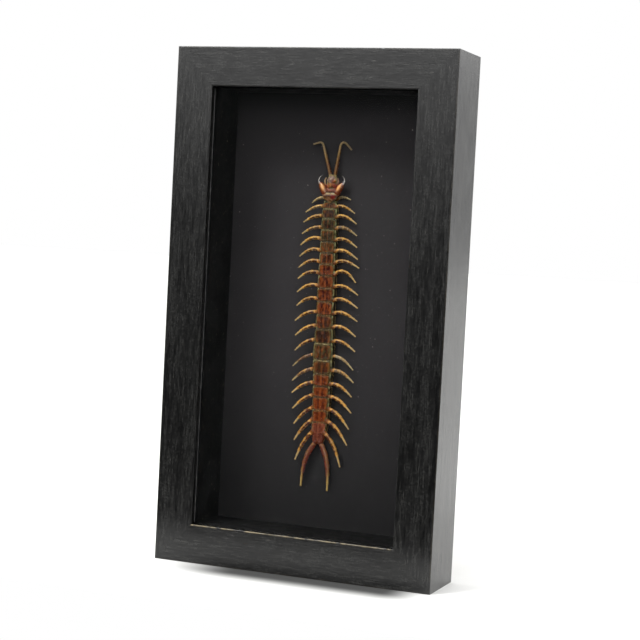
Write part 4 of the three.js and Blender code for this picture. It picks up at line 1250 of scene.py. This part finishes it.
# The shield in front of the mouth: a domed plate, broad behind and narrow in front.
def faceShield():
    v, u, under, end, centred = plateGrid(40, 44)
    z = headSpec["shieldFront"] - 4.3 * v
    half = (1.75 + 1.15 * ease(0, 0.75, v)) * (1 - end ** 3.2) ** (1 / 2.8)
    x = headX + u * half
    h = 4.15 + 0.45 * bell(v, 0.6, 0.45) - 0.75 * centred ** 2.6 - 0.35 * end ** 6
    place = over(x, z, h)
    h = h - 0.12 * bell(centred, 0.42 + 0.1 * v, 0.05) * ease(0.3, 0.6, v) - 0.1 * bell(v, 0.72, 0.03)
    h = h + 0.05 * ripple(place, 1.1, 351) - under * 0.3
    tone = 0.55 + 0.35 * ripple(place, 1.6, 352)
    red = ease(0.3, 0.8, v) * ease(-0.2, 0.6, u)
    edge = bell(centred, 0.98, 0.07) + 0.8 * bell(v, 0.03, 0.05)
    return closedSkin(over(x, z, h), shades(tone, red, edge))


addPiece("faceShield", faceShield(), faceMaterial)

jawSpec = {
    "inner": {"x": 0.62, "z": 224.3, "h": 4.0, "halfX": 0.62, "halfZ": 1.35, "tone": 0.45, "redder": 0.25,
        "back": 0.8},
    "outer": {"x": 1.85, "z": 223.9, "h": 3.8, "halfX": 0.72, "halfZ": 1.6, "tone": 0.6, "redder": 0.35,
        "back": 0.9},
    "halfHeight": 0.62,
    "bar": [(-3.0, 222.3, 3.5), (-1.6, 221.3, 4.15), (0, 221.0, 4.3), (1.6, 221.3, 4.15),
        (3.0, 222.3, 3.5)],
}
jaws = []
for sign in (-1, 1):
    for jaw, seed in ((jawSpec["inner"], 360), (jawSpec["outer"], 364)):
        lump = lumpSkin(headX + sign * jaw["x"], jaw["z"], jaw["h"], jaw["halfX"], jaw["halfZ"],
            jawSpec["halfHeight"], seed + sign)
        jaws.append(shaded(lump, jaw["tone"] + jaw["redder"] * (sign > 0), 0.1, jaw["back"]))
barWidth = 0.85 + 0.1 * np.sin(np.pi * np.linspace(0, 1, 50))
bar = shaded(tube(headLine("right", jawSpec["bar"], 50), barWidth, 0.6, 26), 0.85, 0.1, 0.6)
addPiece("jaws", joined(jaws), faceMaterial)
addPiece("jawBar", bar, faceMaterial)

palpSpec = {
    "line": [(1.6, 222.3, 3.5), (3.5, 224.2, 3.9), (4.3, 226.4, 3.9), (3.4, 228.8, 3.6)],
    # Each article's start and end along the line, and the radius at both.
    "parts": [(0, 0.42, 0.55, 0.56), (0.4, 0.72, 0.5, 0.52), (0.7, 0.97, 0.45, 0.34)],
}
for side in ("left", "right"):
    line = headLine(side, palpSpec["line"], 80)

    # Painted shade: the right palp is deeper, and its pale joints fainter, than the left's.
    def palpValues(share, grooveShade, joint, turn):
        root = 1 - ease(0.25, 0.6, share)
        edge = (0.5 + joint) * (1 - root) * (0.3 + 0.7 * (side == "left"))
        return 0.45 + 0.5 * root + 0.3 * (side == "right"), edge, 0.2 + 0.75 * root

    parts = [articleSkin(line, *part, 1.0, 20, 22, 0.0, palpValues) for part in palpSpec["parts"]]
    addPiece(f"palp{side.capitalize()}", joined(parts), faceMaterial)
    claw = spineSkin(line[-1] + np.array([0, 0, -0.2]), (-signOf(side) * 0.5, -0.1, 1), 0.6, 0.16)
    addPiece(f"palpClaw{side.capitalize()}", claw, hardMaterial)

eyeSpec = {"radius": 0.34,
    "places": [(3.15, 227.6, 1.5), (2.95, 228.2, 2.0), (2.65, 228.7, 1.5), (3.1, 227.1, 2.1)]}
eyeMaterial, eyeShader, eyePlace = newMaterial("blackEye")
eyeColour = mixed(noise(eyePlace, 2500.0), "#050404", "#22120a")
feed(eyeShader, {"Base Color": eyeColour, "Roughness": 0.08, "Coat Weight": 1.0})
for side in ("left", "right"):
    eyes = [lumpSkin(headX + signOf(side) * offset, z, h, *[eyeSpec["radius"]] * 3, k, 16, 20, 0.0)
            for k, (offset, z, h) in enumerate(eyeSpec["places"])]
    addPiece(f"eyes{side.capitalize()}", joined(eyes), eyeMaterial)
print("head done")


feelerPlan = {
    "left": {"x": -1.55, "length": 25.4, "lean": 17, "tipLean": 106, "bendFrom": 0.7, "bendTo": 0.86},
    "right": {"x": 1.35, "length": 27.3, "lean": 8, "tipLean": 136, "bendFrom": 0.62, "bendTo": 0.84},
    "articles": 17, "radius": 1.02, "tipRadius": 0.5, "rootHeight": 2.1,
    "sides": 20, "rows": 16, "steps": 120,
    "socket": [(-1.8, 1.1), (-0.6, 1.25), (0, 1.15), (0.35, 0.9)],
}
feelerLook = look("#9a7c44", "#522408", "#94805a", "#4a2e1c", edge=0.6, edgeColour="#3c2412",
    mottleScale=700.0, rough=(0.24, 0.34), wrinkleScale=1800.0, dust=0.1)
feelerMaterial = shellMaterial("feelerShell", feelerLook)


# A feeler's line leans out from the head and bends over between two shares of its length.
def feelerLine(side):
    plan = feelerPlan[side]
    count = feelerPlan["steps"]
    s = (np.arange(count) + 0.5) / count
    lean = np.radians(plan["lean"]
        + (plan["tipLean"] - plan["lean"]) * ease(plan["bendFrom"], plan["bendTo"], s))
    steps = np.stack([signOf(side) * np.sin(lean), 0 * s, np.cos(lean)], -1) * plan["length"] / count
    start = over(headX + plan["x"], headSpec["front"] - 0.3, feelerPlan["rootHeight"])
    return start + np.concatenate([[[0, 0, 0]], np.cumsum(steps, axis=0)])


for side in ("left", "right"):
    line = feelerLine(side)
    count = feelerPlan["articles"]

    def feelerValues(share, grooveShade, joint, turn):
        # Painted shade: each article is darker towards its two sides and paler in the middle that faces the
        # glass.
        paintedSideShade = np.abs(np.cos(turn)) ** 3
        tone = 0.6 - 0.45 * ease(0.2, 0.55, share) + 0.6 * paintedSideShade
        return tone, joint, ease(0.3, 0.9, share)

    parts = []
    for k in range(count):
        size = feelerPlan["radius"] + (feelerPlan["tipRadius"] - feelerPlan["radius"]) * k / (count - 1)
        begin, end = 0.012 + 0.988 * (k - 0.06 * (k > 0)) / count, 0.012 + 0.988 * (k + 1) / count
        parts.append(articleSkin(line, begin, min(end, 1), size, size * 0.98, 1.08, feelerPlan["sides"],
            feelerPlan["rows"], 0.0, feelerValues))
    addPiece(f"feeler{side.capitalize()}", joined(parts), feelerMaterial, [f"antenna_{side}"])
    run = unit(line[3] - line[0])
    t = np.linspace(-1.8, 0.35, 16)
    radius = reading(feelerPlan["socket"], t, 0.1)
    socket = shaded(tube(line[0] + run * t[:, None], radius, radius, 26), 0.5, 0.3, 0.0)
    addPiece(f"feelerSocket{side.capitalize()}", socket, headMaterial)
print("feelers done")


stageSpec = {
    "floor": "#e8e8e6", "floorShade": "#e4e4e2", "shadow": "#101211", "floorFront": -0.115, "floorReach": 8,
    "front": 0.02, "back": 0.65, "above": 0.35,
    "canopy": 4.4, "canopyFrom": 0.05, "canopyTo": 0.16, "canopyBehind": 0.4,
    "keyPower": 11.0, "keyPlace": (-0.4, -0.6, 0.98), "keySize": 0.3, "keyAim": (0, 0, 0.15),
}
floorMesh = bpy.data.meshes.new("floor")
edge, far = stageSpec["floorFront"], stageSpec["floorReach"]
floorMesh.from_pydata([(-far, edge, 0), (far, edge, 0), (far, far, 0), (-far, far, 0)], [], [(0, 1, 2, 3)])
floor = bpy.data.objects.new("floor", floorMesh)
bpy.context.scene.collection.objects.link(floor)
floorMaterial, floorShader, floorPlace = newMaterial("paleFloor")
colour = mixed(spread(noise(floorPlace, 30.0, 3), 0.3, 0.7), stageSpec["floor"], stageSpec["floorShade"])
along, ahead = parted(floorPlace)[:2]
# A painted shadow lies along the frame's foot, in front of it.
shadow = times(spread(ahead, -0.054, -0.03, (0.0, 0.95)), spread(ahead, -0.01, 0.0, (1.0, 0.0)))
ends = times(spread(along, -0.086, -0.03), spread(along, 0.06, 0.09, (1.0, 0.0)))
feed(floorShader, {"Base Color": mixed(times(shadow, ends), colour, stageSpec["shadow"]), "Roughness": 0.6})
floorMesh.materials.append(floorMaterial)

# A studio of pale walls: brighter behind and above than on the camera's side, and seen as white.
world = bpy.data.worlds.new("studio")
world.use_nodes = True
sky = world.node_tree
toward = parted(addNode(sky, "ShaderNodeTexCoord").outputs["Generated"])
walls = spread(toward[1], -0.9, 0.1, (stageSpec["front"], stageSpec["back"]))
canopy = spread(toward[2], stageSpec["canopyFrom"], stageSpec["canopyTo"], (0.0, stageSpec["canopy"]))
canopy = times(canopy, spread(toward[2], 0.3, 0.55, (1.0, stageSpec["above"])))
canopy = times(canopy, spread(toward[1], 0.1, 0.6, (1.0, stageSpec["canopyBehind"])))
seen = addNode(sky, "ShaderNodeLightPath").outputs["Is Camera Ray"]
strength = addNode(sky, "ShaderNodeMix", {0: seen, 2: maths("MAXIMUM", walls, canopy), 3: 1.0}).outputs[0]
feed(sky.nodes["Background"], {0: (1, 1, 1, 1), 1: strength})
bpy.context.scene.world = world

key = bpy.data.lights.new("softKey", "AREA")
key.shape, key.size, key.energy = "DISK", stageSpec["keySize"], stageSpec["keyPower"]
keyObject = bpy.data.objects.new("softKey", key)
bpy.context.scene.collection.objects.link(keyObject)


# Turns an object at a place so that it looks along a direction with a given up side.
def aimed(place, ahead, up):
    ahead = unit(np.array(ahead, float))
    right = unit(np.cross(ahead, up))
    up = np.cross(right, ahead)
    turn = Matrix(np.stack([right, up, -ahead], 1).tolist()).to_4x4()
    return Matrix.Translation(place) @ turn


keyObject.matrix_world = aimed(stageSpec["keyPlace"],
    np.subtract(stageSpec["keyAim"], stageSpec["keyPlace"]), (0, 0, 1))

cameraSpec = {
    "place": (0.35235, -0.89086, 0.1974), "ahead": (-0.36392, 0.92989, -0.05352),
    "up": (-0.068, 0.03079, 0.99721),
    "lens": 93.46, "sensor": 36.0,
}
camera = bpy.data.objects.new("camera", bpy.data.cameras.new("camera"))
bpy.context.scene.collection.objects.link(camera)
camera.data.lens, camera.data.sensor_width = cameraSpec["lens"], cameraSpec["sensor"]
camera.data.clip_start, camera.data.clip_end = 0.01, 50
camera.matrix_world = aimed(cameraSpec["place"], cameraSpec["ahead"], cameraSpec["up"])
bpy.context.scene.camera = camera
print("stage done")

bpy.context.scene.view_settings.view_transform = "Standard"
